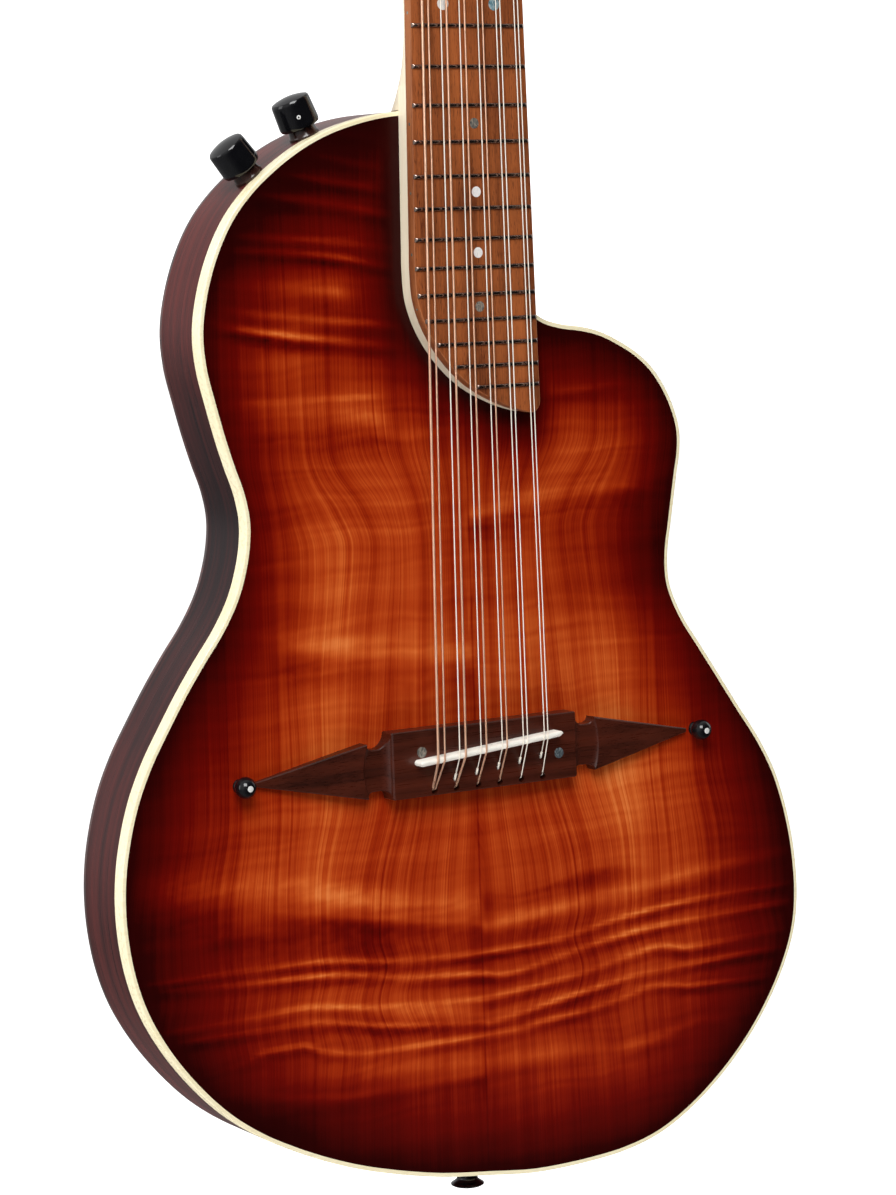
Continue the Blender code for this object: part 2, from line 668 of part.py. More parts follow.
def make_bridge():
    ebony = material("bridge_rosewood", (0.10, 0.045, 0.03), 0.45)
    bone = material("bone", (0.88, 0.84, 0.72), 0.35)
    black = material("black_gloss", (0.012, 0.012, 0.014), 0.15)
    stations = [(-x, *rest) for x, *rest in reversed(BRIDGE_STATIONS)] + list(BRIDGE_STATIONS)
    sections = []
    for x, half, height, z in stations:
        crown = BRIDGE_BACK - height
        chamfer = min(1.2, half * 0.4)
        sections.append([
            (x, BRIDGE_BACK, z - half), (x, BRIDGE_BACK, z + half),
            (x, crown + chamfer, z + half), (x, crown, z + half - chamfer),
            (x, crown, z - half + chamfer), (x, crown + chamfer, z - half),
        ])
    bridge = new_object("bridge", loft(sections), ebony)
    cut(bridge, slanted_bar(SADDLE_WIDTH / 2 + GAP, 1.0, DECK_Y - 4, PICKUP_BACK + GAP))
    pockets = []
    for course in range(COURSES):
        low = string_x(course, 0, False) - POCKET_MARGIN
        high = string_x(course, 1, False) + POCKET_MARGIN
        floor = ANCHOR_Y + ANCHOR_RADIUS + GAP
        pockets.append(box((low, DECK_Y - 4, POCKET_ENDS[0]), (high, floor, POCKET_ENDS[1])))
    cut(bridge, several(pockets))
    new_object("saddle", slanted_bar(SADDLE_WIDTH / 2, 0.0, SADDLE_TOP, SADDLE_BACK), bone)
    new_object(
        "saddle_pickup", slanted_bar(SADDLE_WIDTH / 2 - 0.3, -0.5, SADDLE_BACK + GAP, PICKUP_BACK),
        material("pickup_film", (0.5, 0.35, 0.2), 0.5),
    )
    turned = [(PIN_STEM_RADIUS, 17.4), (PIN_STEM_RADIUS, -GAP), (4.2, -GAP)]
    for degrees in (-50, -25, 0, 30, 60):
        turn = radians(degrees)
        turned.append((PIN_BALL_RADIUS * cos(turn), -0.6 - PIN_BALL_RADIUS * (1 + sin(turn))))
    for sign, name in ((-1, "bass"), (1, "treble")):
        place = frame_at(sign * PIN_PLACE[0], TOP_FRONT, PIN_PLACE[1], Matrix.Rotation(-pi / 2, 4, "X"))
        new_object(f"bridge_pin_{name}", lathe(turned, 12), black, place)


def slanted_bar(half_width, extra_length, front, back):
    """A bar along the saddle's slanted line."""
    start, end = (Vector(p) for p in SADDLE_ENDS)
    along = (end - start).normalized()
    side = Vector((-along.y, along.x)) * half_width
    start, end = start - along * extra_length, end + along * extra_length
    corners = (start - side, end - side, end + side, start + side)
    return prism([tuple(corner) for corner in corners], front, back)


def knob_point(spec, height):
    x, z, y, degrees = spec
    return (x + height * cos(radians(degrees)), y, z + height * sin(radians(degrees)))


def make_controls():
    black = material("black_gloss", (0.012, 0.012, 0.014), 0.15)
    metal = material("black_metal", (0.02, 0.02, 0.022), 0.35, 0.6)
    inside = -RIM_THICKNESS - 1.0
    for name, spec in KNOBS.items():
        x, z, y, degrees = spec
        outward = Matrix.Rotation(radians(90 - degrees), 4, "Y")
        place = frame_at(x, y, z, outward)
        pot = bored(
            (
                (POT_RADIUS, -17.0), (POT_RADIUS, inside), (BUSH_RADIUS, inside), (BUSH_RADIUS, 0.6),
                (WASHER_RADIUS, 0.6), (WASHER_RADIUS, 3.0), (BUSH_RADIUS, BUSH_TOP),
            ),
            ((BUSH_BORE, -10.0), (BUSH_BORE, BUSH_TOP)), 16,
        )
        new_object(f"{name}_pot", pot, metal, place)
        knob = lathe(
            (
                (KNOB_STEM_RADIUS, -9.6), (KNOB_STEM_RADIUS, KNOB_FOOT), (KNOB_RADIUS, KNOB_FOOT),
                (KNOB_RADIUS - 0.3, KNOB_TOP - 3.4), (KNOB_RADIUS - 1.4, KNOB_TOP - 1.2),
                (KNOB_RADIUS - 4.0, KNOB_TOP),
            ),
            20,
        )
        shade_round(new_object(f"{name}_knob", knob, black, place))

    jack = bored(
        (
            (JACK_BARREL, -812.0), (JACK_BARREL, JACK_FLANGE), (JACK_WASHER_RADIUS, JACK_FLANGE),
            (JACK_WASHER_RADIUS, JACK_FLANGE - 1.4), (JACK_WAIST, JACK_FLANGE - 2.6), (JACK_WAIST, JACK_TIP + 3.4),
            (JACK_RADIUS, JACK_TIP + 1.7), (JACK_RADIUS, JACK_TIP + 1.2), (JACK_RADIUS - 1.9, JACK_TIP),
        ),
        ((JACK_BORE, -820.0), (JACK_BORE, JACK_TIP)), 16,
    )
    shade_round(new_object("end_pin_jack", jack, metal, frame_at(0, MID_Y, 0)))
    strap = lathe(
        (
            (STRAP_STEM_RADIUS, -14.0), (STRAP_STEM_RADIUS, 0.6), (6.6, 0.6), (6.6, 1.8), (4.0, 4.6),
            (4.0, 8.0), (7.2, 10.6), (6.6, 12.4),
        ),
        12,
    )
    place = frame_at(0, BODY_BACK, STRAP_Z, Matrix.Rotation(-pi / 2, 4, "X"))
    new_object("strap_button", strap, metal, place)

    (x0, z0), (x1, z1) = COVER
    low_x, low_z, high_x, high_z = x0 + COVER_ROUND, z0 + COVER_ROUND, x1 - COVER_ROUND, z1 - COVER_ROUND
    corners = []
    for centre, first in (
        ((high_x, high_z), 0), ((low_x, high_z), 90), ((low_x, low_z), 180), ((high_x, low_z), 270),
    ):
        for degrees in (0, 30, 60, 90):
            turn = radians(first + degrees)
            corners.append((centre[0] + COVER_ROUND * cos(turn), centre[1] + COVER_ROUND * sin(turn)))
    lid = prism(corners, BODY_BACK + GAP, BODY_BACK + GAP + COVER_THICKNESS)
    new_object("rear_cover", lid, material("black_plastic", (0.02, 0.02, 0.02), 0.3))
    battery = box((x0 + 8, 32.3, -450.5), (x0 + 56.5, 49.8, -424.0))
    new_object("battery", battery, material("battery_case", (0.05, 0.06, 0.09), 0.4, 0.5))
    board = box((x0 + 2, 28.0, -460.0), (x1 - 4, 31.5, -421.0))
    new_object("preamp_board", board, material("circuit_board", (0.02, 0.12, 0.05), 0.5))


def build():
    clear_scene()
    stations = edge_stations()
    make_body(stations)
    make_neck()
    make_fingerboard()
    head = head_place()
    head.translation *= MM
    frame = empty("headstock_frame", head)
    make_headstock(frame)
    make_bridge()
    make_strings()
    make_controls()


build()
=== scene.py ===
"""The looks of the twelve-string guitar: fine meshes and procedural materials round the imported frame.

The frame: +X is the treble side, -Y is the front (the strings' side), +Z runs towards the headstock, and
the origin lies where the fret tops' plane meets the nut. Lengths here are in millimetres until make()
turns them into metres.
"""

import json
from math import atan2, ceil, copysign, cos, hypot, pi, radians, sin, sqrt, tau

import bmesh
import bpy
import numpy as np
from mathutils import Matrix, Vector
from mathutils.geometry import delaunay_2d_cdt


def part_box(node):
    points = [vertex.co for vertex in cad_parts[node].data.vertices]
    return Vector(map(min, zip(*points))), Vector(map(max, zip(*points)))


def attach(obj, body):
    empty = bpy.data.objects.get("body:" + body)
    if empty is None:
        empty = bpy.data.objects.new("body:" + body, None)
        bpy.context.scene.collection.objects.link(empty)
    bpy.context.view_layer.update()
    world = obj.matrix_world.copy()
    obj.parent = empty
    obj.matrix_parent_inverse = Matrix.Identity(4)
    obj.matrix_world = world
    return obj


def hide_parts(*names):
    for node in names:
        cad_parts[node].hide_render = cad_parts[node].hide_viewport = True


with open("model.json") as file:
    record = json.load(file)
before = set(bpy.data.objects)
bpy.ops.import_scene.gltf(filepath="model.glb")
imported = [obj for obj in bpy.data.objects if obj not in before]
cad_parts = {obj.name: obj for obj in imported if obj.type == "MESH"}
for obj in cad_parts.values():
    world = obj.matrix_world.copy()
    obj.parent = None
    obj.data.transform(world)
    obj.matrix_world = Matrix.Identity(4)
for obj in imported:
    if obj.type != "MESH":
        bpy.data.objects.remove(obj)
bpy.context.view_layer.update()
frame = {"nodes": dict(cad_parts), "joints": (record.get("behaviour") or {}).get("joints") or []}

M = 0.001


def node_box(name):
    """A CAD node's low and high corner in millimetres."""
    return tuple(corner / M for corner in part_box(name))


# Planes and lengths of the frame
TOP_Y = node_box("soundboard")[0].y
TOP_BACK_Y = node_box("soundboard")[1].y
BINDING_BACK_Y = node_box("top_binding")[1].y
BACK_PLATE_Y, BODY_BACK_Y = (corner.y for corner in node_box("back_plate"))
BOARD_BACK_Y = node_box("fingerboard")[1].y
FRET_PLANE_Y = node_box("fingerboard")[0].y
BINDING_WIDTH = 2.0
RIM_THICKNESS = 3.0
JACK_Y = (TOP_Y + BODY_BACK_Y) / 2

# Fingerboard and strings
SCALE = 648.0
FRETS = 24
FRET_HEIGHT = 1.0
FRET_WIDTH = 2.0
FRET_BEVEL = 1.3
BOARD_FRONT_Y = FRET_PLANE_Y + FRET_HEIGHT
CAMBER_RADIUS = 900.0
COURSES = 6
COURSE_AT_NUT = 7.85
COURSE_AT_SADDLE = 11.4
PAIR_AT_NUT = (2.8, 2.0)
PAIR_AT_SADDLE = (3.6, 2.0)
STRING_RADII = ((0.58, 0.42), (0.28, 0.50), (0.25, 0.42), (0.25, 0.36), (0.26, 0.26), (0.25, 0.25))
WOUND = ((True, True), (False, True), (False, True), (False, True), (False, False), (False, False))
STRING_NUT_Y = -1.0
STRING_SADDLE_Y = -2.2

# Bridge
DECK_Y = 5.0
BRIDGE_CENTRE_Z = -655.3
BRIDGE_DROOP = -656.6             # z of the wings' centre line
SADDLE_ENDS = ((-38.5, -654.8), (38.5, -648.4))
SADDLE_WIDTH = 2.7
COVE = 5.2                        # reach of the hollow at each end of the block
WING_ROOT = 61.8
HOLE_PITCH = 11.8
HOLE_SHIFT = 1.25
REAR_HOLE_Z = -668.6
FRONT_HOLE_Z = -662.1             # of the middle course; the row follows the saddle's slant
FRONT_HOLE_SLANT = 0.11
PIN_X = 124.0
PIN_Z = -656.7
PIN_RADIUS = 4.9

# Headstock
NECK_FRONT_Y = BOARD_BACK_Y
NUT_LENGTH = 6.0
HEAD_FRONT_Y = 6.8
HEAD_THICKNESS = 14.0
OVERLAY = 1.0
POST_X = 27.0
FIRST_POST = 34.0
POST_PITCH = 27.0
POSTS_A_SIDE = 6
STRIP_FRONT = 14.3
STRIP_THICKNESS = 1.5
GEAR_FRONT = 16.9
GEAR_THICKNESS = 4.2
GEAR_TEETH = 16
WORM_DEPTH = GEAR_FRONT + GEAR_THICKNESS / 2
WORM_OFFSET = 9.6
STRING_ON_POST = -5.0

TO_FRONT = Matrix.Rotation(pi / 2, 4, "X")    # turns +Z to the front
TO_BACK = Matrix.Rotation(-pi / 2, 4, "X")    # turns +Z to the back

SIDES = ((-1, "bass"), (1, "treble"))
JOINTS = {joint["child"]: joint for joint in frame["joints"]}


def at(x, y, z):
    return Matrix.Translation((x, y, z))


def joint_place(body, side=(0.0, 0.0, 1.0)):
    """A body's joint as a matrix in millimetres: Z lies along its axis and X near side."""
    joint = JOINTS[body]
    up = Vector(joint["axis"]).normalized()
    side = Vector(side)
    side = (side - up * side.dot(up)).normalized()
    turned = Matrix((side, up.cross(side), up)).transposed().to_4x4()
    return Matrix.Translation(Vector(joint["pos_m"]) / M) @ turned


def head_place():
    """The headstock's own matrix: its face lies in Y = 0 and its length runs along Z from the nut."""
    axis = Vector(JOINTS["post_bass_1"]["axis"])
    return at(0.0, HEAD_FRONT_Y, NUT_LENGTH) @ Matrix.Rotation(-atan2(axis.z, -axis.y), 4, "X")


HEAD = head_place()


# Shapes: (points, faces) or (points, faces, kinds) in millimetres

def ring_faces(start, after, count):
    """Quads between two rings of equal length."""
    return [(start + j, start + (j + 1) % count, after + (j + 1) % count, after + j) for j in range(count)]


def circle(radius, z, segments, other=None):
    """A ring round Z; with another radius for y it is an ellipse."""
    turns = [tau * k / segments for k in range(segments)]
    return [(radius * cos(turn), (other or radius) * sin(turn), z) for turn in turns]


def loft(sections, closed=False):
    """A skin over rings of equal length; an open one gets both end faces."""
    count = len(sections[0])
    points = [tuple(point) for section in sections for point in section]
    faces = []
    for i in range(len(sections) - (0 if closed else 1)):
        faces += ring_faces(i * count, (i + 1) % len(sections) * count, count)
    if not closed:
        last = len(points) - count
        faces += [tuple(range(count)), tuple(range(last + count - 1, last - 1, -1))]
    return points, faces


def lathe(profile, segments=32):
    """A closed body turned about Z from (radius, z) rows; a row of no radius at either end is a pole."""
    points, faces, rings = [], [], []
    for radius, z in profile:
        rings.append(len(points))
        if radius > 0:
            points += circle(radius, z, segments)
        else:
            points.append((0.0, 0.0, z))
    for i in range(len(profile) - 1):
        a, b = rings[i], rings[i + 1]
        if profile[i][0] > 0 and profile[i + 1][0] > 0:
            faces += ring_faces(a, b, segments)
        elif profile[i][0] > 0:
            faces += [(a + j, a + (j + 1) % segments, b) for j in range(segments)]
        else:
            faces += [(a, b + (j + 1) % segments, b + j) for j in range(segments)]
    if profile[0][0] > 0:
        faces.append(tuple(range(segments)))
    if profile[-1][0] > 0:
        faces.append(tuple(range(rings[-1] + segments - 1, rings[-1] - 1, -1)))
    return points, faces


def ringed(profile, segments=40):
    """A ring-shaped body: a closed (radius, z) profile turned all the way round Z."""
    turns = [tau * k / segments for k in range(segments)]
    return loft([[(r * cos(turn), r * sin(turn), z) for r, z in profile] for turn in turns], closed=True)


def moved(shape, matrix):
    return ([tuple(matrix @ Vector(point)) for point in shape[0]], *shape[1:])


def several(shapes):
    points, faces = [], []
    for shape in shapes:
        start = len(points)
        points += shape[0]
        faces += [tuple(i + start for i in face) for face in shape[1]]
    return points, faces


def box(low, high):
    xs, ys, zs = zip(low, high)
    points = [(x, y, z) for x in xs for y in ys for z in zs]
    faces = [(0, 1, 3, 2), (4, 6, 7, 5), (0, 4, 5, 1), (2, 3, 7, 6), (0, 2, 6, 4), (1, 5, 7, 3)]
    return points, faces


def rod(start, end, radius, segments=16):
    start, end = Vector(start), Vector(end)
    turn = (end - start).to_track_quat("Z", "Y").to_matrix().to_4x4()
    cylinder = lathe(((radius, 0.0), (radius, (end - start).length)), segments)
    return moved(cylinder, Matrix.Translation(start) @ turn)


def tube(path, radius, sides=8):
    """A round tube along a path, its rings turned as little as possible."""
    path = [Vector(p) for p in path]
    across = None
    sections = []
    for i, point in enumerate(path):
        ahead = (path[min(i + 1, len(path) - 1)] - path[max(i - 1, 0)]).normalized()
        if across is None:
            across = ahead.orthogonal().normalized()
        across = (across - ahead * across.dot(ahead)).normalized()
        up = ahead.cross(across)
        sections.append([point + across * x + up * y for x, y, z in circle(radius, 0.0, sides)])
    return loft(sections)


def curve_through(knots, steps):
    """A centripetal spline through the knots, in 2-D or 3-D, open."""
    knots = [Vector(k) for k in knots]
    gaps = [(b - a).length ** 0.5 for a, b in zip(knots, knots[1:])]
    chords = [(b - a) / gap for a, b, gap in zip(knots, knots[1:], gaps)]
    slopes = [chords[0]]
    for i in range(1, len(knots) - 1):
        slopes.append((chords[i - 1] * gaps[i] + chords[i] * gaps[i - 1]) / (gaps[i - 1] + gaps[i]))
    slopes.append(chords[-1])
    points = []
    for i, gap in enumerate(gaps):
        for k in range(steps):
            points.append(hermite(knots[i], knots[i + 1], slopes[i] * gap, slopes[i + 1] * gap, k / steps))
    return [*points, knots[-1]]


def hermite(a, b, da, db, t):
    """The cubic from a to b whose slopes there are da and db."""
    return (
        a * (2 * t**3 - 3 * t**2 + 1) + da * (t**3 - 2 * t**2 + t)
        + b * (3 * t**2 - 2 * t**3) + db * (t**3 - t**2)
    )


def flat_loops(node, y):
    """The closed loops of sharp edges of a CAD node that lie in the plane Y = y, longest first, as (x, z)."""
    work = bmesh.new()
    work.from_mesh(frame["nodes"][node].data)
    bmesh.ops.remove_doubles(work, verts=work.verts, dist=1e-6)
    links = {}
    for edge in work.edges:
        in_plane = all(abs(v.co.y / M - y) < 0.02 for v in edge.verts)
        if in_plane and len(edge.link_faces) == 2 and edge.calc_face_angle(0.0) > radians(30):
            for v, other in (edge.verts, reversed(edge.verts)):
                links.setdefault(v.index, []).append(other.index)
    places = {v.index: (v.co.x / M, v.co.z / M) for v in work.verts}
    work.free()
    loops = []
    while links:
        start = here = next(iter(links))
        before, loop = None, []
        while here in links:
            loop.append(Vector(places[here]))
            ahead = [i for i in links.pop(here) if i != before and (i in links or i == start)]
            before, here = here, ahead[0] if ahead else None
        loops.append(loop)
    return sorted(loops, key=lambda loop: -sum((a - b).length for a, b in zip(loop, loop[1:])))


def smooth_loop(loop, step, corner=50.0, longest=24.0):
    """The loop as a fine closed spline, anticlockwise seen from the front, with its real corners kept."""
    if sum(a.x * b.y - b.x * a.y for a, b in zip(loop, loop[1:] + loop[:1])) < 0:
        loop = loop[::-1]
    knots = []
    for a, b in zip(loop, loop[1:] + loop[:1]):
        parts = ceil((b - a).length / 8.0) if (b - a).length > longest else 1
        knots += [a.lerp(b, k / parts) for k in range(parts)]
    count = len(knots)
    turns = []
    for i in range(count):
        turns.append((knots[i] - knots[i - 1]).angle(knots[(i + 1) % count] - knots[i]))
    corners = [i for i in range(count) if turns[i] > radians(corner)]
    first = corners[0] if corners else 0
    knots = knots[first:] + knots[:first]
    stops = [i - first for i in corners] + [count] if corners else [count]
    knots.append(knots[0])
    points = []
    begin = 0
    for stop in stops:
        if stop == begin:
            continue
        run = knots[begin: stop + 1]
        if not corners:
            run = [knots[-2], *run, knots[1]]
        fine = curve_through(run, 6)
        if not corners:
            fine = fine[6:-6]
        points += resample(fine, max(1, round(marks_of(fine)[-1] / step)))[:-1]
        begin = stop
    return points


def marks_of(line):
    """How far along a polyline each of its points lies."""
    return np.cumsum([0.0] + [(b - a).length for a, b in zip(line, line[1:])])


def resample(line, parts):
    """A polyline as evenly spaced points, parts + 1 of them."""
    marks = marks_of(line)
    wanted = np.linspace(0, marks[-1], parts + 1)
    columns = [np.interp(wanted, marks, [p[i] for p in line]) for i in range(len(line[0]))]
    return [Vector(row) for row in zip(*columns)]


def normals_of(loop):
    """Outward normals of an anticlockwise closed loop."""
    out = []
    for i in range(len(loop)):
        along = (loop[(i + 1) % len(loop)] - loop[i - 1]).normalized()
        out.append(Vector((along.y, -along.x)))
    return out


def distance_to(points, loop):
    """Distance of each (x, z) point to a closed polyline."""
    a = np.array([tuple(p) for p in loop])
    d = np.roll(a, -1, axis=0) - a
    best = np.full(len(points), np.inf)
    for start in range(0, len(points), 2000):
        p = points[start: start + 2000, None, :] - a[None]
        t = np.clip((p * d).sum(-1) / (d * d).sum(-1), 0, 1)
        best[start: start + 2000] = np.sqrt(((p - t[..., None] * d) ** 2).sum(-1)).min(1)
    return best


def inside(points, loop):
    a = np.array([tuple(p) for p in loop])
    b = np.roll(a, -1, axis=0)
    x, z = points[:, 0, None], points[:, 1, None]
    spans = (a[:, 1] > z) != (b[:, 1] > z)
    rise = np.where(b[:, 1] == a[:, 1], 1.0, b[:, 1] - a[:, 1])
    crossing = a[:, 0] + (z - a[:, 1]) * (b[:, 0] - a[:, 0]) / rise
    return (spans & (x < crossing)).sum(1) % 2 == 1


def plate(loop, levels, front=None, step=6.0):
    """A closed plate over an anticlockwise outline.

    levels are (inset, y) rows from the edge of its back face round to the edge of its front face. front(x, z)
    is added to y in every row but the first, and all over the front face. step is the size of the front
    face's grid. Faces are of kind wall, back or front.
    """
    front = front or (lambda x, z: 0.0)
    normals = normals_of(loop)
    count = len(loop)
    points, faces = [], []
    for number, (inset, y) in enumerate(levels):
        for p, n in zip(loop, normals):
            q = p - n * inset
            points.append((q.x, y + (front(q.x, q.y) if number else 0.0), q.y))
        if number:
            faces += ring_faces((number - 1) * count, number * count, count)
    kinds = ["wall"] * len(faces)
    faces.append(tuple(range(count)))
    kinds.append("back")
    edge = len(points) - count
    rim = [Vector((x, z)) for x, y, z in points[edge:]]
    xs, zs = [p.x for p in rim], [p.y for p in rim]
    step_x, step_z = step if isinstance(step, tuple) else (step, step)
    columns, rows = np.arange(min(xs), max(xs), step_x), np.arange(min(zs), max(zs), step_z)
    grid = np.array([(x, z) for x in columns for z in rows])
    grid = grid[inside(grid, rim)]
    grid = grid[distance_to(grid, rim) > min(step_x, step_z) * 0.5] if len(grid) else grid
    flat = rim + [Vector(p) for p in grid]
    made = delaunay_2d_cdt(flat, [], [tuple(range(count))], 0, 1e-5, True)
    index = []
    for place, origins in zip(made[0], made[3]):
        on_rim = [i for i in origins if i < count]
        if on_rim:
            index.append(edge + on_rim[0])
        else:
            index.append(len(points))
            points.append((place.x, levels[-1][1] + front(place.x, place.y), place.y))
    corners = np.array([tuple(place) for place in made[0]])
    for face, kept in zip(made[2], inside(corners[np.array(made[2])].mean(axis=1), rim)):
        if kept:
            faces.append(tuple(index[i] for i in face))
            kinds.append("front")
    return points, faces, kinds


def rounded(radius, front_y, back_y, steps=4):
    """Levels of a plate whose front edge is rounded. The front may lie either way from the back."""
    away = 1 if front_y < back_y else -1
    rows = [(0.0, back_y)]
    for k in range(steps + 1):
        turn = pi / 2 * k / steps
        rows.append((radius * (1 - cos(turn)), front_y + away * radius * (1 - sin(turn))))
    return rows


def round_box(low, high, radius, steps=5):
    """An anticlockwise rounded rectangle in (x, z)."""
    points = []
    for cx, cz, first in (
        (high[0] - radius, high[1] - radius, 0), (low[0] + radius, high[1] - radius, 90),
        (low[0] + radius, low[1] + radius, 180), (high[0] - radius, low[1] + radius, 270),
    ):
        for k in range(steps + 1):
            turn = radians(first + 90 * k / steps)
            points.append(Vector((cx + radius * cos(turn), cz + radius * sin(turn))))
    return points


def smooth_values(xs, ys):
    """A function through (x, y) pairs that never overshoots between them."""
    xs, ys = np.array(xs, float), np.array(ys, float)
    step = np.diff(xs)
    rise = np.diff(ys) / step
    slope = np.zeros(len(xs))
    for i in range(1, len(xs) - 1):
        if rise[i - 1] * rise[i] > 0:
            w1, w2 = 2 * step[i] + step[i - 1], step[i] + 2 * step[i - 1]
            slope[i] = (w1 + w2) / (w1 / rise[i - 1] + w2 / rise[i])
    slope[0], slope[-1] = rise[0], rise[-1]

    def value(x):
        i = int(np.clip(np.searchsorted(xs, x) - 1, 0, len(step) - 1))
        t = min(1.0, max(0.0, (x - xs[i]) / step[i]))
        return float(hermite(ys[i], ys[i + 1], slope[i] * step[i], slope[i + 1] * step[i], t))

    return value


def mesh_of(name, points, faces):
    """A mesh in metres whose faces all point outwards."""
    mesh = bpy.data.meshes.new(name)
    mesh.from_pydata([Vector(p) * M for p in points], [], faces)
    work = bmesh.new()
    work.from_mesh(mesh)
    bmesh.ops.recalc_face_normals(work, faces=work.faces)
    work.to_mesh(mesh)
    work.free()
    return mesh


def make(
    name, shape, finish, body="body", stands_for=None, crease=35.0, place=None, rounding=None,
    data=None
):
    """A piece from a shape.

    finish is a material, or one for each kind of face. stands_for names the CAD node that the piece replaces.
    place is the piece's own matrix, and data holds the values of point attributes.
    """
    points, faces, *kinds = shape
    mesh = mesh_of(name, points, faces)
    if isinstance(finish, dict):
        names = list(finish)
        for key in names:
            mesh.materials.append(finish[key])
        mesh.polygons.foreach_set("material_index", [names.index(kind) for kind in kinds[0]])
    else:
        mesh.materials.append(finish)
    for key, values in (data or {}).items():
        attribute = mesh.attributes.new(key, "FLOAT", "POINT")
        attribute.data.foreach_set("value", np.asarray(values, np.float32))
    mesh.shade_smooth()
    mesh.set_sharp_from_angle(angle=radians(crease))
    piece = bpy.data.objects.new(name, mesh)
    bpy.context.scene.collection.objects.link(piece)
    if place is not None:
        spot = place.copy()
        spot.translation *= M
        piece.matrix_world = spot
    if rounding:
        bevel = piece.modifiers.new("Bevel", "BEVEL")
        bevel.width = rounding * M
        bevel.segments = 2
        bevel.limit_method = "ANGLE"
        bevel.angle_limit = radians(crease)
        bevel.harden_normals = True
    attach(piece, body)
    if stands_for:
        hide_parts(stands_for)
    return piece


def carve(piece, shape):
    """Cuts a shape out of a piece and applies the result to its mesh."""
    tool_mesh = mesh_of("tool", *shape)
    tool = bpy.data.objects.new("tool", tool_mesh)
    bpy.context.scene.collection.objects.link(tool)
    step = piece.modifiers.new("Carve", "BOOLEAN")
    step.operation = "DIFFERENCE"
    step.solver = "EXACT"
    step.object = tool
    bpy.context.view_layer.update()
    result = bpy.data.meshes.new_from_object(piece.evaluated_get(bpy.context.evaluated_depsgraph_get()))
    piece.modifiers.remove(step)
    piece.data = result
    bpy.data.objects.remove(tool)
    bpy.data.meshes.remove(tool_mesh)


# Materials

class Nodes:
    """Short ways to add nodes to a tree; most of them return an output."""

    def __init__(self, tree):
        self.tree = tree

    def add(self, kind, **settings):
        node = self.tree.nodes.new("ShaderNode" + kind)
        for key, value in settings.items():
            setattr(node, key, value)
        return node

    def plug(self, socket, value):
        if isinstance(value, bpy.types.NodeSocket):
            self.tree.links.new(value, socket)
        else:
            socket.default_value = value

    def math(self, operation, *values):
        node = self.add("Math", operation=operation)
        for socket, value in zip(node.inputs, values):
            self.plug(socket, value)
        return node.outputs[0]

    def vector_math(self, operation, first, second=None, **named):
        node = self.add("VectorMath", operation=operation)
        self.plug(node.inputs[0], first)
        if second is not None:
            self.plug(node.inputs[1], second)
        for key, value in named.items():
            self.plug(node.inputs[key], value)
        return node.outputs[0]

    def axes(self, vector):
        node = self.add("SeparateXYZ")
        self.plug(node.inputs[0], vector)
        return node.outputs

    def vector(self, x, y, z):
        node = self.add("CombineXYZ")
        for socket, value in zip(node.inputs, (x, y, z)):
            self.plug(socket, value)
        return node.outputs[0]

    def spread(self, value, low, high, to_low=0.0, to_high=1.0, smooth=False):
        """The value with its range from low to high mapped onto another range."""
        node = self.add("MapRange", interpolation_type="SMOOTHSTEP" if smooth else "LINEAR")
        ends = {"From Min": low, "From Max": high, "To Min": to_low, "To Max": to_high}
        for key, amount in {"Value": value, **ends}.items():
            self.plug(node.inputs[key], amount)
        return node.outputs[0]

    def total(self, *terms):
        """The sum of (value, weight) pairs and plain values."""
        result = None
        for term in terms:
            value = self.math("MULTIPLY", *term) if isinstance(term, tuple) else term
            result = value if result is None else self.math("ADD", result, value)
        return result

    def ramp(self, factor, stops):
        node = self.add("ValToRGB")
        elements = node.color_ramp.elements
        while len(elements) < len(stops):
            elements.new(0.5)
        for element, (position, colour) in zip(elements, stops):
            element.position = position
            element.color = (*colour, 1.0)
        self.plug(node.inputs[0], factor)
        return node.outputs[0]

    def attribute(self, name):
        return self.add("Attribute", attribute_name=name).outputs["Fac"]


class Finish(Nodes):
    """A Principled material in the making. Its mm output is the object's own place in millimetres."""

    def __init__(self, name, **values):
        self.material = bpy.data.materials.new(name)
        self.material.use_nodes = True
        super().__init__(self.material.node_tree)
        self.shader = self.tree.nodes["Principled BSDF"]
        for socket, value in values.items():
            self.shader.inputs[socket.replace("_", " ")].default_value = value
        place = self.add("TexCoord").outputs["Object"]
        self.mm = self.vector_math("SCALE", place, Scale=1 / M)

    def noise(self, cell, detail=2.0, vector=None, roughness=0.5):
        """Noise from 0 to 1 whose blobs are cell millimetres in size, along each axis or along all."""
        cell = cell if isinstance(cell, tuple) else (cell, cell, cell)
        scaled = self.vector_math("DIVIDE", vector or self.mm, cell)
        node = self.add("TexNoise", noise_dimensions="3D")
        self.plug(node.inputs["Vector"], scaled)
        for key, value in (("Scale", 1.0), ("Detail", detail), ("Roughness", roughness)):
            node.inputs[key].default_value = value
        return node.outputs[0]

    def done(self, colour=None, roughness=None, height=None, depth=0.1):
        """Plugs colour, roughness and a bump of depth millimetres, and returns the material."""
        if colour is not None:
            self.plug(self.shader.inputs["Base Color"], colour)
        if roughness is not None:
            self.plug(self.shader.inputs["Roughness"], roughness)
        if height is not None:
            bump = self.add("Bump")
            bump.inputs["Strength"].default_value = 1.0
            bump.inputs["Distance"].default_value = depth * M
            self.plug(bump.inputs["Height"], height)
            self.plug(self.shader.inputs["Normal"], bump.outputs[0])
        return self.material


def mixed(a, b, share):
    return tuple(x + (y - x) * share for x, y in zip(a, b))


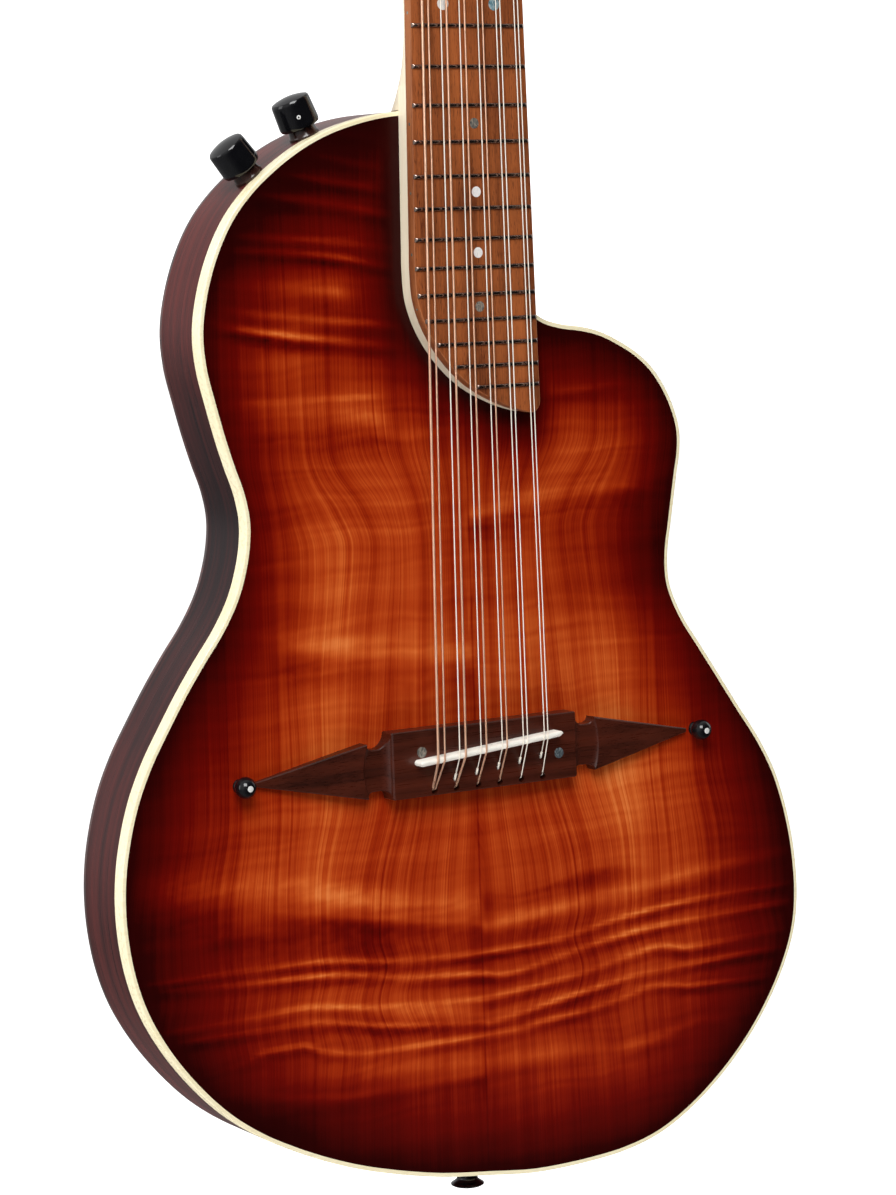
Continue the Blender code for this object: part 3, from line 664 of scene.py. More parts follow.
def wood(
    name, dark, light, along=2, fibre=0.8, figure=9.0, reach=70.0, pores=0.0, rough=0.35, depth=0.02,
    run=None, shade=None, **values
):
    """Straight-grained wood. fibre and figure are widths across the grain, and reach is the lines' length.

    along is the axis that the grain follows, unless an attribute, run, measures the way along it. Another
    attribute, shade, paints shade into the wood where it is below 1 and light where it is above 1.
    """
    f = Finish(name, **values)
    if run:
        x, y, z = f.axes(f.mm)[:3]
        vector = f.vector(f.attribute(run), y, 0.0)
        along = 0
    else:
        vector = f.mm

    def cells(across, length):
        size = [across] * 3
        size[along] = length
        return tuple(size)

    bend = f.noise(cells(40.0, 160.0), 1.0, vector)
    bend = f.vector_math("SCALE", f.vector(bend, bend, bend), Scale=figure * 0.9)
    bent = f.vector_math("ADD", vector, bend)
    lines = f.noise(cells(fibre, reach), 3.0, bent, 0.65)
    broad = f.noise(cells(figure, reach * 5), 2.0, bent)
    blotch = f.noise(cells(figure * 5, reach), 1.0, vector)
    tone = f.total((lines, 0.55), (broad, 0.75), (blotch, 0.35), -0.33)
    if pores:
        dashes = f.noise(cells(fibre * 0.45, reach * 0.12), 1.0, vector)
        tone = f.total(tone, (f.spread(dashes, 0.60, 0.70), -pores))
    if shade:
        tone = f.math("MULTIPLY", tone, f.attribute(shade))
    colour = f.ramp(tone, ((0.18, dark), (0.5, mixed(dark, light, 0.55)), (0.82, light)))
    return f.done(colour, f.spread(lines, 0.3, 0.7, rough - 0.05, rough + 0.07), tone, depth)


def plain(name, colour, rough, grain=0.6, vary=0.12, depth=0.01, **values):
    """A moulded, cast or plated surface: faint mottling, fine bump, uneven gloss."""
    f = Finish(name, **values)
    fine = f.noise(grain, 3.0)
    cloud = f.noise(grain * 22)
    tone = f.total((fine, 0.5), (cloud, 0.5))
    low = tuple(max(0.0, c * (1 - vary)) for c in colour)
    high = tuple(min(1.0, c * (1 + vary)) for c in colour)
    tint = f.ramp(tone, ((0.3, low), (0.7, high)))
    return f.done(tint, f.spread(cloud, 0.3, 0.7, rough * 0.8, rough * 1.25), fine, depth)


def shell(name, stops, *colours, cell=1.4):
    """Polished shell with swirled bands of colour."""
    f = Finish(name, Coat_Weight=0.6, Coat_Roughness=0.06)
    swirl = f.noise(cell * 3, 1.0)
    bent = f.vector_math("ADD", f.mm, f.vector_math("SCALE", f.vector(swirl, swirl, swirl), Scale=cell * 3))
    bands = f.noise((cell * 0.5, cell, cell * 1.6), 2.0, bent)
    colour = f.ramp(bands, tuple(zip(stops, colours)))
    return f.done(colour, f.spread(bands, 0.3, 0.7, 0.14, 0.26), bands, 0.01)


def wound(name):
    """Bronze winding: fine turns along the string with painted shade in the grooves and painted highlight on
    the crowns, a little brighter in places.
    """
    f = Finish(name, Metallic=0.55)
    turns = f.add("TexWave", wave_type="BANDS", bands_direction="Z", wave_profile="SIN")
    f.plug(turns.inputs["Vector"], f.mm)
    turns.inputs["Scale"].default_value = 0.62
    bright_patches = f.noise((0.8, 0.8, 14.0), 2.0)
    # The colour follows the turns: painted shade in the grooves between them, painted highlight on the crowns
    tone = f.total((turns.outputs[1], 0.55), (bright_patches, 0.45))
    colour = f.ramp(tone, ((0.2, (0.58, 0.28, 0.16)), (0.55, (0.86, 0.50, 0.32)), (0.85, (1.0, 0.74, 0.56))))
    return f.done(colour, f.spread(bright_patches, 0.3, 0.7, 0.26, 0.40), turns.outputs[1], 0.05)


def top_finish():
    """Bookmatched redwood under gloss, flamed across the grain and shaded to near black at every edge."""
    f = Finish("redwood_burst", Specular_IOR_Level=0.12)
    x, y, z = f.axes(f.mm)[:3]
    across = f.math("ABSOLUTE", x)

    # The grain follows an attribute, which says how far from the centre line each fibre lies at its ends
    drift = f.noise((60.0, 1.0, 120.0), 1.0, f.vector(across, 0.0, z))
    fibre = f.math("MULTIPLY_ADD", drift, 9.0, f.attribute("fibre"))
    lines = f.noise((0.8, 1.0, 300.0), 2.0, f.vector(fibre, 0.0, z), 0.7)
    streaks = f.noise((5.0, 1.0, 420.0), 2.5, f.vector(fibre, 3.0, z), 0.6)
    broad = f.noise((26.0, 1.0, 240.0), 1.0, f.vector(fibre, 7.0, z))

    # Faint ripples across the grain, under the strong bands that the bands attribute holds
    wave = f.noise((46.0, 1.0, 34.0), 2.0, f.vector(across, 0.0, z))
    level = f.math("MULTIPLY_ADD", wave, 12.0, z)
    ripple = f.noise((130.0, 1.0, 9.0), 2.0, f.vector(across, 0.0, level))
    behind = f.noise((130.0, 1.0, 9.0), 2.0, f.vector(across, 0.0, f.math("ADD", level, 2.4)))
    fold = f.math("SUBTRACT", ripple, behind)
    broken = f.spread(f.noise((9.0, 1.0, 5.0), 2.0), 0.3, 0.7, 0.75, 1.25)
    bands = f.math("MULTIPLY", f.attribute("bands"), broken)
    flame = f.total((f.math("SUBTRACT", ripple, 0.5), 0.16), (fold, 0.24), (bands, 1.0))

    veins = f.math("MULTIPLY", f.spread(streaks, 0.60, 0.68), f.spread(fibre, 20.0, 40.0))
    veins = f.math("MULTIPLY", veins, f.spread(fibre, 75.0, 58.0))
    seam = f.spread(across, 0.15, 0.75, 1.0, 0.0)
    grain = f.total((f.math("SUBTRACT", lines, 0.5), 0.54), (f.math("SUBTRACT", streaks, 0.5), 0.50))
    figure = f.total(1.0, grain, (f.math("SUBTRACT", broad, 0.5), 0.35), flame, (veins, -0.24), (seam, -0.16))
    tone = f.math("MULTIPLY", f.attribute("tone"), figure)
    colour = f.ramp(f.math("DIVIDE", tone, 1.35), (
        (0.0, (0.006, 0.0002, 0.0002)), (0.16, (0.024, 0.0004, 0.0003)), (0.37, (0.127, 0.0020, 0.0005)),
        (0.48, (0.223, 0.0085, 0.0012)), (0.575, (0.328, 0.024, 0.0025)), (0.667, (0.456, 0.053, 0.007)),
        (0.76, (0.60, 0.11, 0.018)), (1.0, (0.90, 0.30, 0.08)),
    ))
    return f.done(colour, f.spread(lines, 0.3, 0.7, 0.28, 0.36), lines, 0.008)


def rosewood_back():
    """Two bookmatched leaves with a pale strip between them."""
    f = Finish("rosewood_back", Coat_Weight=0.5, Coat_Roughness=0.08)
    x, y, z = f.axes(f.mm)[:3]
    across = f.math("ABSOLUTE", x)
    drift = f.noise((60.0, 1.0, 210.0), 2.0, f.vector(across, 0.0, z))
    bent = f.math("MULTIPLY_ADD", drift, 34.0, across)
    bands = f.noise((7.0, 1.0, 420.0), 3.0, f.vector(bent, 0.0, z), 0.62)
    fibre = f.noise((0.7, 1.0, 60.0), 2.0, f.vector(bent, 4.0, z), 0.7)
    pores = f.noise((0.35, 1.0, 7.0), 1.0, f.vector(bent, 9.0, z))
    tone = f.total((bands, 0.85), (fibre, 0.35), (f.spread(pores, 0.62, 0.72), -0.12), -0.1)
    wood_colour = f.ramp(tone, (
        (0.28, (0.012, 0.003, 0.003)), (0.48, (0.045, 0.010, 0.009)), (0.62, (0.10, 0.026, 0.020)),
        (0.80, (0.17, 0.055, 0.036)),
    ))
    strip = f.add("Mix", data_type="RGBA")
    f.plug(strip.inputs["Factor"], f.math("MULTIPLY", f.spread(across, 2.2, 2.5, 1.0, 0.0), 0.9))
    f.plug(strip.inputs["A"], wood_colour)
    strip.inputs["B"].default_value = (0.30, 0.17, 0.08, 1.0)
    return f.done(strip.outputs["Result"], f.spread(fibre, 0.3, 0.7, 0.26, 0.36), fibre, 0.01)


redwood = top_finish()
back_rosewood = rosewood_back()
# The rims carry painted shade through the shade attribute: darkest at the waist, lighter at the tail
rim_rosewood = wood(
    "rosewood_rim", (0.010, 0.003, 0.004), (0.155, 0.022, 0.018), figure=4.0, reach=80.0, pores=0.14,
    rough=0.30, run="run", shade="shade", Specular_IOR_Level=0.22,
)
cream = wood(
    "binding_maple", (0.86, 0.74, 0.45), (0.95, 0.87, 0.62), along=0, fibre=2.4, figure=24.0, reach=60.0,
    rough=0.28, depth=0.006, Coat_Weight=0.3, Coat_Roughness=0.1,
)
maple = wood(
    "neck_maple", (0.88, 0.72, 0.50), (1.0, 0.92, 0.74), fibre=0.9, reach=120.0, rough=0.38, depth=0.01,
)
board_wood = wood(
    "board_rosewood", (0.07, 0.014, 0.005), (0.47, 0.130, 0.034), fibre=0.5, figure=6.0, reach=30.0,
    pores=0.30, rough=0.42, depth=0.03, Specular_IOR_Level=0.25,
)
# The board's sides and underside: the same rosewood as its face, painted lighter to stand for the light
# falling on the sides
board_side_painted_light = wood(
    "board_side_painted_light", (0.13, 0.030, 0.010), (0.44, 0.150, 0.050), fibre=0.6, figure=5.0, reach=50.0,
    pores=0.25, rough=0.45, Specular_IOR_Level=0.3,
)
bridge_wood = wood(
    "bridge_rosewood", (0.015, 0.003, 0.0015), (0.090, 0.015, 0.006), along=0, fibre=0.5, figure=5.0,
    reach=40.0, pores=0.12, rough=0.30, Specular_IOR_Level=0.55,
)
head_wood = wood(
    "head_rosewood", (0.012, 0.004, 0.003), (0.07, 0.022, 0.014), fibre=0.6, figure=6.0, reach=60.0,
    pores=0.10, rough=0.3, Coat_Weight=0.5, Coat_Roughness=0.08,
)
mahogany = wood(
    "block_mahogany", (0.24, 0.10, 0.05), (0.50, 0.27, 0.15), reach=50.0, pores=0.15, rough=0.6,
)
spruce = wood(
    "brace_spruce", (0.60, 0.43, 0.24), (0.84, 0.70, 0.47), fibre=1.0, figure=4.0, reach=120.0, rough=0.6,
)

bone = plain("bone", (0.96, 0.91, 0.82), 0.30, grain=0.4, vary=0.07)
# The frets' dark brown tint is painted: it stands for the shade and dark reflections on the nickel wires
fret_metal = plain("fret_wire", (0.40, 0.29, 0.24), 0.22, vary=0.10, Metallic=1.0)
# Plain steel painted a warm near-white with little metal: a painted sheen, bright whatever the strings mirror
steel_string = plain("plain_steel_string", (1.0, 0.90, 0.78), 0.34, vary=0.05, Metallic=0.1)
bronze_string = wound("bronze_winding")
brass = plain("brass", (0.72, 0.50, 0.20), 0.26, vary=0.12, Metallic=1.0)
nickel = plain("nickel", (0.60, 0.57, 0.53), 0.20, vary=0.10, Metallic=1.0)
steel = plain("steel", (0.50, 0.50, 0.52), 0.34, vary=0.15, Metallic=1.0)
black_chrome = plain("black_chrome", (0.05, 0.05, 0.055), 0.24, vary=0.25, Metallic=1.0)
black_gloss = plain(
    "black_gloss", (0.004, 0.004, 0.005), 0.07, vary=0.3, depth=0.001, Specular_IOR_Level=0.45,
)
black_plastic = plain("black_plastic", (0.014, 0.014, 0.015), 0.30, vary=0.2)
collar_brown = plain("collar_brown", (0.020, 0.006, 0.004), 0.15, vary=0.25)
# Pale finish of the pins' eyes; on the tone knob's set screw it is a painted highlight
pin_white_and_painted_glint = plain("pin_white_and_painted_glint", (0.66, 0.66, 0.64), 0.22, vary=0.05)
pearl = shell(
    "pearl", (0.25, 0.45, 0.6, 0.8), (0.60, 0.58, 0.55), (0.80, 0.80, 0.78), (0.88, 0.82, 0.80),
    (0.72, 0.82, 0.78),
)
abalone = shell(
    "abalone", (0.25, 0.42, 0.55, 0.72), (0.03, 0.07, 0.09), (0.10, 0.22, 0.27), (0.30, 0.40, 0.42),
    (0.55, 0.56, 0.50),
)
blue_abalone = shell(
    "blue_abalone", (0.25, 0.45, 0.6, 0.8), (0.02, 0.025, 0.03), (0.06, 0.075, 0.085), (0.13, 0.15, 0.16),
    (0.22, 0.24, 0.24),
)
dark_abalone = shell(
    "dark_abalone", (0.25, 0.45, 0.6, 0.8), (0.04, 0.03, 0.03), (0.12, 0.12, 0.11), (0.25, 0.22, 0.18),
    (0.34, 0.24, 0.16),
)
pickup_film = plain("pickup_film", (0.42, 0.26, 0.12), 0.45, vary=0.25)


def printed(name, base, accent, cell, rough, **values):
    """A board or a case: a base colour with blocks of another, laid out in rectangles."""
    f = Finish(name, **values)
    bricks = f.add("TexBrick")
    x, y, z = f.axes(f.mm)[:3]
    f.plug(bricks.inputs["Vector"], f.vector_math("DIVIDE", f.vector(x, z, 0.0), (cell, cell, cell)))
    for key, value in (("Color1", base), ("Color2", mixed(base, accent, 0.25)), ("Mortar", accent)):
        bricks.inputs[key].default_value = (*value, 1.0)
    bricks.inputs["Mortar Size"].default_value = 0.03
    roughness = f.spread(f.noise(1.2), 0.3, 0.7, rough - 0.06, rough + 0.08)
    return f.done(bricks.outputs["Color"], roughness, bricks.outputs["Fac"], 0.04)


circuit_green = printed("circuit_green", (0.012, 0.10, 0.04), (0.45, 0.33, 0.10), 9.0, 0.40)
battery_print = printed("battery_print", (0.04, 0.05, 0.09), (0.30, 0.28, 0.24), 30.0, 0.34, Metallic=0.4)


# The body

edge = smooth_loop(flat_loops("back_plate", BODY_BACK_Y)[0], 2.6)
edge = [p - n * 0.1 for p, n in zip(edge, normals_of(edge))]
board_edge_line = smooth_loop(flat_loops("fingerboard", BOARD_BACK_Y)[0], 1.6, corner=40.0)

EDGE_FADE = 80.0                  # how far the burst reaches in from the edge
BOARD_FADE = 40.0                 # and how far from the fingerboard
GLOWS = (
    # x, z, reach in x, reach in z, amount out of 200
    (-88.0, -560.0, 34.0, 46.0, 66.0),
    (-104.0, -500.0, 26.0, 34.0, 34.0),
    (-96.0, -456.0, 34.0, 26.0, 34.0),
    (-62.0, -466.0, 24.0, 20.0, -36.0),
    (80.0, -520.0, 28.0, 26.0, 36.0),
    (92.0, -612.0, 44.0, 30.0, 44.0),
    (98.0, -664.0, 44.0, 34.0, 40.0),
    (0.0, -612.0, 70.0, 24.0, 18.0),
    (-100.0, -630.0, 34.0, 30.0, 22.0),
    (-90.0, -734.0, 70.0, 14.0, -28.0),
    (24.0, -756.0, 60.0, 16.0, -24.0),
    (64.0, -790.0, 50.0, 14.0, -18.0),
    (-60.0, -791.0, 34.0, 9.0, 24.0),
    (56.0, -812.0, 34.0, 10.0, 16.0),
    (-100.0, -812.0, 44.0, 12.0, -16.0),
)
BANDS = (
    # amount, half width, depth of the shade below it, then the band's course as (x, z)
    # Lower bout, both halves
    (0.42, 1.3, 0.75, ((-182, -739), (-130, -740), (-90, -741), (-40, -747), (0, -749), (30, -749),
        (80, -743), (120, -740), (184, -739))),
    (0.42, 1.4, 0.70, ((-178, -742), (-120, -746), (-80, -748), (-40, -755), (0, -759), (12, -761),
        (60, -754), (100, -750), (184, -748))),
    (0.34, 1.5, 0.60, ((-172, -762), (-120, -762), (-100, -761), (-60, -766), (0, -771))),
    (0.30, 3.2, 0.50, ((-110, -765), (-60, -769), (0, -776))),
    (0.34, 1.3, 0.80, ((-168, -767), (-110, -768), (-90, -769), (-50, -776), (0, -782))),
    (0.36, 1.4, 0.80, ((0, -771), (30, -769), (60, -766), (84, -762), (100, -760), (118, -763),
        (182, -761))),
    (0.40, 1.4, 0.90, ((0, -783), (24, -780), (54, -776), (90, -772), (130, -771), (180, -770))),
    (0.34, 1.4, 0.60, ((-134, -783), (-112, -778), (-98, -778), (-84, -783), (-60, -787), (0, -788),
        (34, -788))),
    (0.36, 1.3, 0.80, ((20, -787), (56, -785), (78, -782), (96, -779), (122, -782), (176, -784))),
    (0.20, 2.2, 0.60, ((-152, -798), (-128, -795), (-100, -802), (-60, -806), (0, -806))),
    (0.22, 2.4, 0.60, ((70, -807), (100, -804), (124, -800), (150, -804))),
    (0.20, 5.0, 0.40, ((-70, -797), (0, -800))),
    (0.16, 4.0, 0.50, ((0, -802), (70, -802))),
    (0.30, 7.0, 0.60, ((-184, -698), (-130, -702), (-92, -708), (-50, -720), (0, -728))),
    (0.16, 2.0, 0.90, ((-120, -712), (-84, -720), (-40, -728), (0, -735))),
    (0.26, 3.0, 0.70, ((0, -737), (40, -734), (80, -730), (120, -727), (180, -722))),
    (-0.20, 5.0, 0.00, ((0, -725), (40, -724), (90, -719))),
    (-0.16, 7.0, 0.00, ((-150, -725), (-100, -731), (-40, -741))),
    # Middle
    (0.20, 5.0, 0.80, ((-112, -594), (-80, -598), (-40, -604), (0, -609))),
    (0.22, 5.0, 0.90, ((-120, -492), (-60, -495), (-34, -500))),
    (0.24, 1.5, 0.20, ((-124, -487), (-90, -488), (-40, -488))),
    (0.24, 3.5, 0.80, ((0, -544), (40, -540), (80, -537), (108, -536))),
    (0.18, 1.6, 0.70, ((36, -491), (64, -490), (96, -488))),
    # Upper bout
    (0.26, 1.4, 0.50, ((-74, -369), (-32, -374))),
    (0.28, 1.6, 0.60, ((-88, -377), (-32, -388))),
    (0.36, 1.5, 0.70, ((-102, -386), (-32, -397))),
    (0.55, 1.8, 0.70, ((-116, -395), (-70, -401), (-32, -408))),
    (0.38, 1.6, 0.50, ((-126, -414), (-80, -417), (-32, -422))),
    (0.48, 1.5, 0.80, ((-128, -420), (-80, -423), (-32, -431))),
    (0.34, 3.4, 0.50, ((-128, -435), (-84, -438), (-50, -443))),
    (0.40, 1.8, 0.50, ((-126, -446), (-80, -452), (-30, -457))),
    (0.55, 1.7, 0.80, ((-132, -452), (-84, -460), (-32, -466))),
)
# How far in a fibre of the middle lies at each z, compared with where it lies at the ends
GATHER = (
    (-860, 1.0), (-805, 0.98), (-785, 0.93), (-765, 1.06), (-748, 0.95), (-735, 1.03), (-715, 1.0),
    (-670, 0.78), (-600, 0.72), (-555, 0.68), (-538, 0.74), (-510, 0.97), (-480, 1.0), (-360, 1.0),
)
# How much of the rims' light grain is left at each z: painted shade, darkest at the waist, and painted sheen
# above 1 at the tail
RIM_PAINTED_SHADE = (
    (-860, 1.15), (-800, 0.9), (-720, 0.72), (-650, 0.72), (-590, 0.55), (-540, 0.35), (-500, 0.55),
    (-440, 0.9), (-370, 1.0),
)


def tones(flat):
    """How light the burst leaves the wood at each (x, z) of the top, from 0 to 1."""
    to_edge = np.minimum(distance_to(flat, edge) / EDGE_FADE, 1.0)
    to_board = np.minimum(distance_to(flat, board_edge_line) / BOARD_FADE, 1.0)
    to_board[inside(flat, board_edge_line)] = 0.0
    shade = np.minimum(165 - 136 * (1 - to_edge) ** 1.6, 165 - 132 * (1 - to_board) ** 1.6)
    shade *= np.interp(flat[:, 1], (-480.0, -400.0), (1.0, 0.68))
    for x, z, reach_x, reach_z, amount in GLOWS:
        shade += amount * np.exp(-((flat[:, 0] - x) / reach_x) ** 2 - ((flat[:, 1] - z) / reach_z) ** 2)
    return shade / 200.0


def flames(flat):
    """The bands of flame at each (x, z) of the top: above 0 light, below 0 dark."""
    total = np.zeros(len(flat))
    for amount, width, shade, course in BANDS:
        xs, zs = zip(*course)
        bend = smooth_values(xs, zs)
        places = np.arange(xs[0], xs[-1] + 1.0)
        away = flat[:, 1] - np.interp(flat[:, 0], places, [bend(x) for x in places])
        # A band fades out at its ends, but not at the seam, where its other half may start
        first, last = (1.0 if abs(x) < 1 else 16.0 for x in (xs[0], xs[-1]))
        fade = np.clip((flat[:, 0] - xs[0]) / first, 0, 1) * np.clip((xs[-1] - flat[:, 0]) / last, 0, 1)
        swell = 0.8 + 0.3 * np.sin(flat[:, 0] * 0.07 + xs[-1] + 9 * width)
        shadow = np.exp(-(((away + 2.3 * width) / (1.9 * width)) ** 2))
        total += amount * fade * swell * (np.exp(-((away / width) ** 2)) - shade * shadow)
    return total


def fibres(flat):
    """How far from the middle the fibre through each (x, z) of the top lies at the ends of the board."""
    gather = smooth_values(*zip(*GATHER))
    places = np.arange(-862.0, -358.0, 2.0)
    share = np.interp(flat[:, 1], places, [gather(z) for z in places])
    across = np.abs(flat[:, 0])
    inner = np.interp(across, (40.0, 95.0), (1.0, 0.15))
    return across * (1 + (1 / share - 1) * inner)


def along_edge(rows, run, outward):
    """Rings across a run of the outline: its (inset, y) rows at every point."""
    return [[(p.x - n.x * inset, y, p.y - n.y * inset) for inset, y in rows] for p, n in zip(run, outward)]


def make_top():
    top = plate(edge, [(BINDING_WIDTH, TOP_BACK_Y), (BINDING_WIDTH, TOP_Y)], step=(4.5, 1.4))
    flat = np.array([(x, z) for x, y, z in top[0]])
    finish = {"front": redwood, "wall": spruce, "back": spruce}
    make(
        "soundboard_redwood", top, finish, stands_for="soundboard",
        data={"tone": tones(flat), "bands": flames(flat), "fibre": fibres(flat)},
    )


def make_binding():
    rows = [
        (BINDING_WIDTH, BINDING_BACK_Y), (0.0, BINDING_BACK_Y), *rounded(0.7, TOP_Y, BINDING_BACK_Y)[1:],
        (BINDING_WIDTH, TOP_Y),
    ]
    ring = loft(along_edge(rows, edge, normals_of(edge)), closed=True)
    make("binding", ring, cream, stands_for="top_binding")


def make_back():
    leaves = plate(edge, rounded(1.4, BODY_BACK_Y, BACK_PLATE_Y), step=9.0)
    finish = {"front": back_rosewood, "wall": back_rosewood, "back": mahogany}
    make("back_leaves", leaves, finish, stands_for="back_plate")


def make_rims():
    """Two rims that meet at a seam behind the neck and at one by the tail."""
    normals = normals_of(edge)
    start = min(range(len(edge)), key=lambda i: abs(edge[i].x) - edge[i].y * 0.01)
    run, outward = edge[start:] + edge[:start], normals[start:] + normals[:start]
    tail = min((i for i in range(len(run)) if run[i].y < -700), key=lambda i: abs(run[i].x))
    halves = {
        "bass": (run[: tail + 1], outward[: tail + 1]),
        "treble": (run[tail:] + run[:1], outward[tail:] + outward[:1]),
    }
    rows = (
        (0.0, BINDING_BACK_Y), (0.0, BACK_PLATE_Y), (RIM_THICKNESS, BACK_PLATE_Y),
        (RIM_THICKNESS, TOP_BACK_Y), (BINDING_WIDTH, TOP_BACK_Y), (BINDING_WIDTH, BINDING_BACK_Y),
    )
    for name, (line, out) in halves.items():
        # shade is the painted shade and light of RIM_PAINTED_SHADE along each rim
        data = {"run": marks_of(line), "shade": np.interp([p.y for p in line], *zip(*RIM_PAINTED_SHADE))}
        make(
            f"rim_{name}", loft(along_edge(rows, line, out)), rim_rosewood, stands_for=f"{name}_side",
            data={key: np.repeat(values, len(rows)) for key, values in data.items()},
        )


# The neck and the headstock

NECK_STATIONS = (
    # z, share of the board's width, depth, power, straight part of the side
    (6.0, 1.0, 13.4, 2.3, 0.6), (-60.0, 1.0, 13.8, 2.2, 0.6), (-200.0, 1.0, 14.4, 2.0, 0.5),
    (-318.0, 0.985, 14.8, 1.8, 0.3), (-330.0, 0.98, 16.0, 1.8, 0.8), (-340.0, 0.97, 20.0, 1.8, 2.4),
    (-350.0, 0.96, 29.0, 1.75, 5.0), (-360.6, 0.955, 43.3, 1.7, 7.0),
)
HEAD_STATIONS = (
    # along the headstock, half width, power, straight part of the side
    (3.0, 24.6, 2.5, 1.0), (9.0, 26.0, 3.4, 2.5), (18.0, 31.0, 6.0, 6.0), (30.0, 38.5, 10.0, 9.5),
    (46.0, 41.5, 14.0, 11.0), (100.0, 42.0, 14.0, 11.0), (160.0, 41.0, 14.0, 11.0), (186.0, 37.0, 14.0, 11.0),
    (198.0, 26.0, 14.0, 11.0), (203.0, 12.0, 14.0, 11.0),
)
OVERLAY_SIDE = (
    # half width, along the headstock
    (24.5, 0.6), (25.8, 8), (31, 18), (38.4, 30), (41.4, 46), (41.9, 100), (40.9, 160), (36.9, 186),
    (25.9, 198), (12, 202.9),
)
TONGUE_TOP = -350.0


def at_stations(rows, places):
    """A table of stations filled in smoothly: a row for each place, the place first."""
    first, *columns = zip(*sorted(rows))
    values = [smooth_values(first, column) for column in columns]
    return [(place, *(value(place) for value in values)) for place in places]


def back_curve(half, front, wall, depth, power, steps=22):
    """Half a ring in (x, y): up one straight side, round the back and down the other."""
    points = [(half, front)]
    for k in range(steps + 1):
        c, s = cos(pi * k / steps), sin(pi * k / steps)
        x = half * copysign(abs(c) ** (2 / power), c)
        points.append((x, front + wall + (depth - wall) * s ** (2 / power)))
    return [*points, (-half, front)]


def board_half(z):
    """Half the fingerboard's width at z."""
    return 24.3 + 0.0177 * abs(z)


def with_mirror(line):
    """A line on the treble side, closed with its own mirror image."""
    return line + [Vector((-p.x, p.y)) for p in reversed(line)]


def post_spots(side):
    """Where the posts of one side stand, as (x, z) on the headstock."""
    return [(side * POST_X, FIRST_POST + POST_PITCH * index) for index in range(POSTS_A_SIDE)]


def post_holes(side, front, back, radius):
    return [rod((x, front, z), (x, back, z), radius, 20) for x, z in post_spots(side)]


def make_neck():
    sections = []
    places = [*np.linspace(-360.6, -316.0, 16), *np.linspace(-300.0, 0.0, 13), 5.0]
    for z, share, depth, power, wall in at_stations(NECK_STATIONS, places):
        ring = back_curve(board_half(z) * share, NECK_FRONT_Y, wall, depth, power)
        sections.append([(x, y, z) for x, y in ring])
    places = [4, 9, 14, 20, 26, 34, 46, *np.linspace(60.0, 180.0, 9), 188, 193, 197, 200, 202, 203]
    for along, half, power, wall in at_stations(HEAD_STATIONS, places):
        ring = back_curve(half, OVERLAY, wall, HEAD_THICKNESS - OVERLAY, power)
        sections.append([HEAD @ Vector((x, y, along)) for x, y in ring])
    neck = make("neck_and_headstock", loft(sections), maple, stands_for="neck", crease=50.0)

    face = plate(with_mirror(curve_through(OVERLAY_SIDE, 6)), rounded(0.5, 0.0, OVERLAY), step=12.0)
    overlay = make("head_overlay", face, head_wood, place=HEAD)

    holes = [hole for side in (-1, 1) for hole in post_holes(side, -3.0, HEAD_THICKNESS + 3.0, 4.1)]
    channel = box((-5.0, -4.0, 7.0), (5.0, 17.1, 33.0))
    for piece in (neck, overlay):
        carve(piece, moved(several(holes), HEAD))
        carve(piece, channel)

    tongue = []
    for p in board_edge_line:
        if p.y < TONGUE_TOP:
            tongue.append(Vector((p.x * 0.985, min(p.y + (0.4 if p.y < -400 else 0.0), TONGUE_TOP))))
    levels = [(0.0, TOP_Y), (0.0, BOARD_BACK_Y)]
    make("neck_tongue", plate(tongue, levels, step=12.0), maple)


# The fingerboard

SHELL_DOTS = {
    3: "pearl", 5: "abalone", 7: "pearl", 9: "abalone", 15: "dark_abalone", 17: "pearl", 19: "pearl",
    21: "dark_abalone",
}
SIDE_DOTS = ((3, 0), (5, 0), (7, 0), (9, 0), (12, -4), (12, 4), (15, 0), (17, 0), (19, 0), (21, 0))


def camber(x, z=0.0):
    """How far the board's face falls back from its middle at x; it is the same at every z."""
    return x * x / (2 * CAMBER_RADIUS)


def fret_z(number):
    return -SCALE * (1 - 2 ** (-number / 12))


def middle_z(number):
    """The middle of the space in front of a fret."""
    return (fret_z(number - 1) + fret_z(number)) / 2


def board_limits(z):
    """The lowest and highest x of the fingerboard at z."""
    found = []
    for a, b in zip(board_edge_line, board_edge_line[1:] + board_edge_line[:1]):
        if (a.y > z) != (b.y > z):
            found.append(a.x + (b.x - a.x) * (z - a.y) / (b.y - a.y))
    return min(found), max(found)


def fret(number):
    """A wire with a domed crown, cut off slantwise at both ends."""
    z = fret_z(number)
    spans = [board_limits(min(z + s * FRET_WIDTH / 2, -0.1)) for s in (-1, 1)]
    low, high = max(s[0] for s in spans) + 0.15, min(s[1] for s in spans) - 0.15
    cuts = [(FRET_BEVEL * k / 6, FRET_HEIGHT * max(0.06, k / 6)) for k in range(7)]
    places = [(low + d, top) for d, top in cuts]
    places += [(low + (high - low) * k / 12, FRET_HEIGHT) for k in range(1, 12)]
    places += [(high - d, top) for d, top in reversed(cuts)]
    sections = []
    for x, top in places:
        base = BOARD_FRONT_Y + camber(x)
        ring = [(x, base + 0.25, z - FRET_WIDTH / 2), (x, base + 0.25, z + FRET_WIDTH / 2)]
        for turn in [pi * k / 8 for k in range(9)]:
            ring.append((x, base - min(FRET_HEIGHT * sin(turn) ** 0.8, top), z + FRET_WIDTH / 2 * cos(turn)))
        sections.append(ring)
    return loft(sections)


def disc(x, z, radius, y, thickness=0.3):
    """A disc lying in the front plane, its face at y."""
    flat = lathe(((radius, 0.0), (radius, thickness), (0.0, thickness)), 24)
    return moved(flat, at(x, y + thickness, z) @ TO_FRONT)


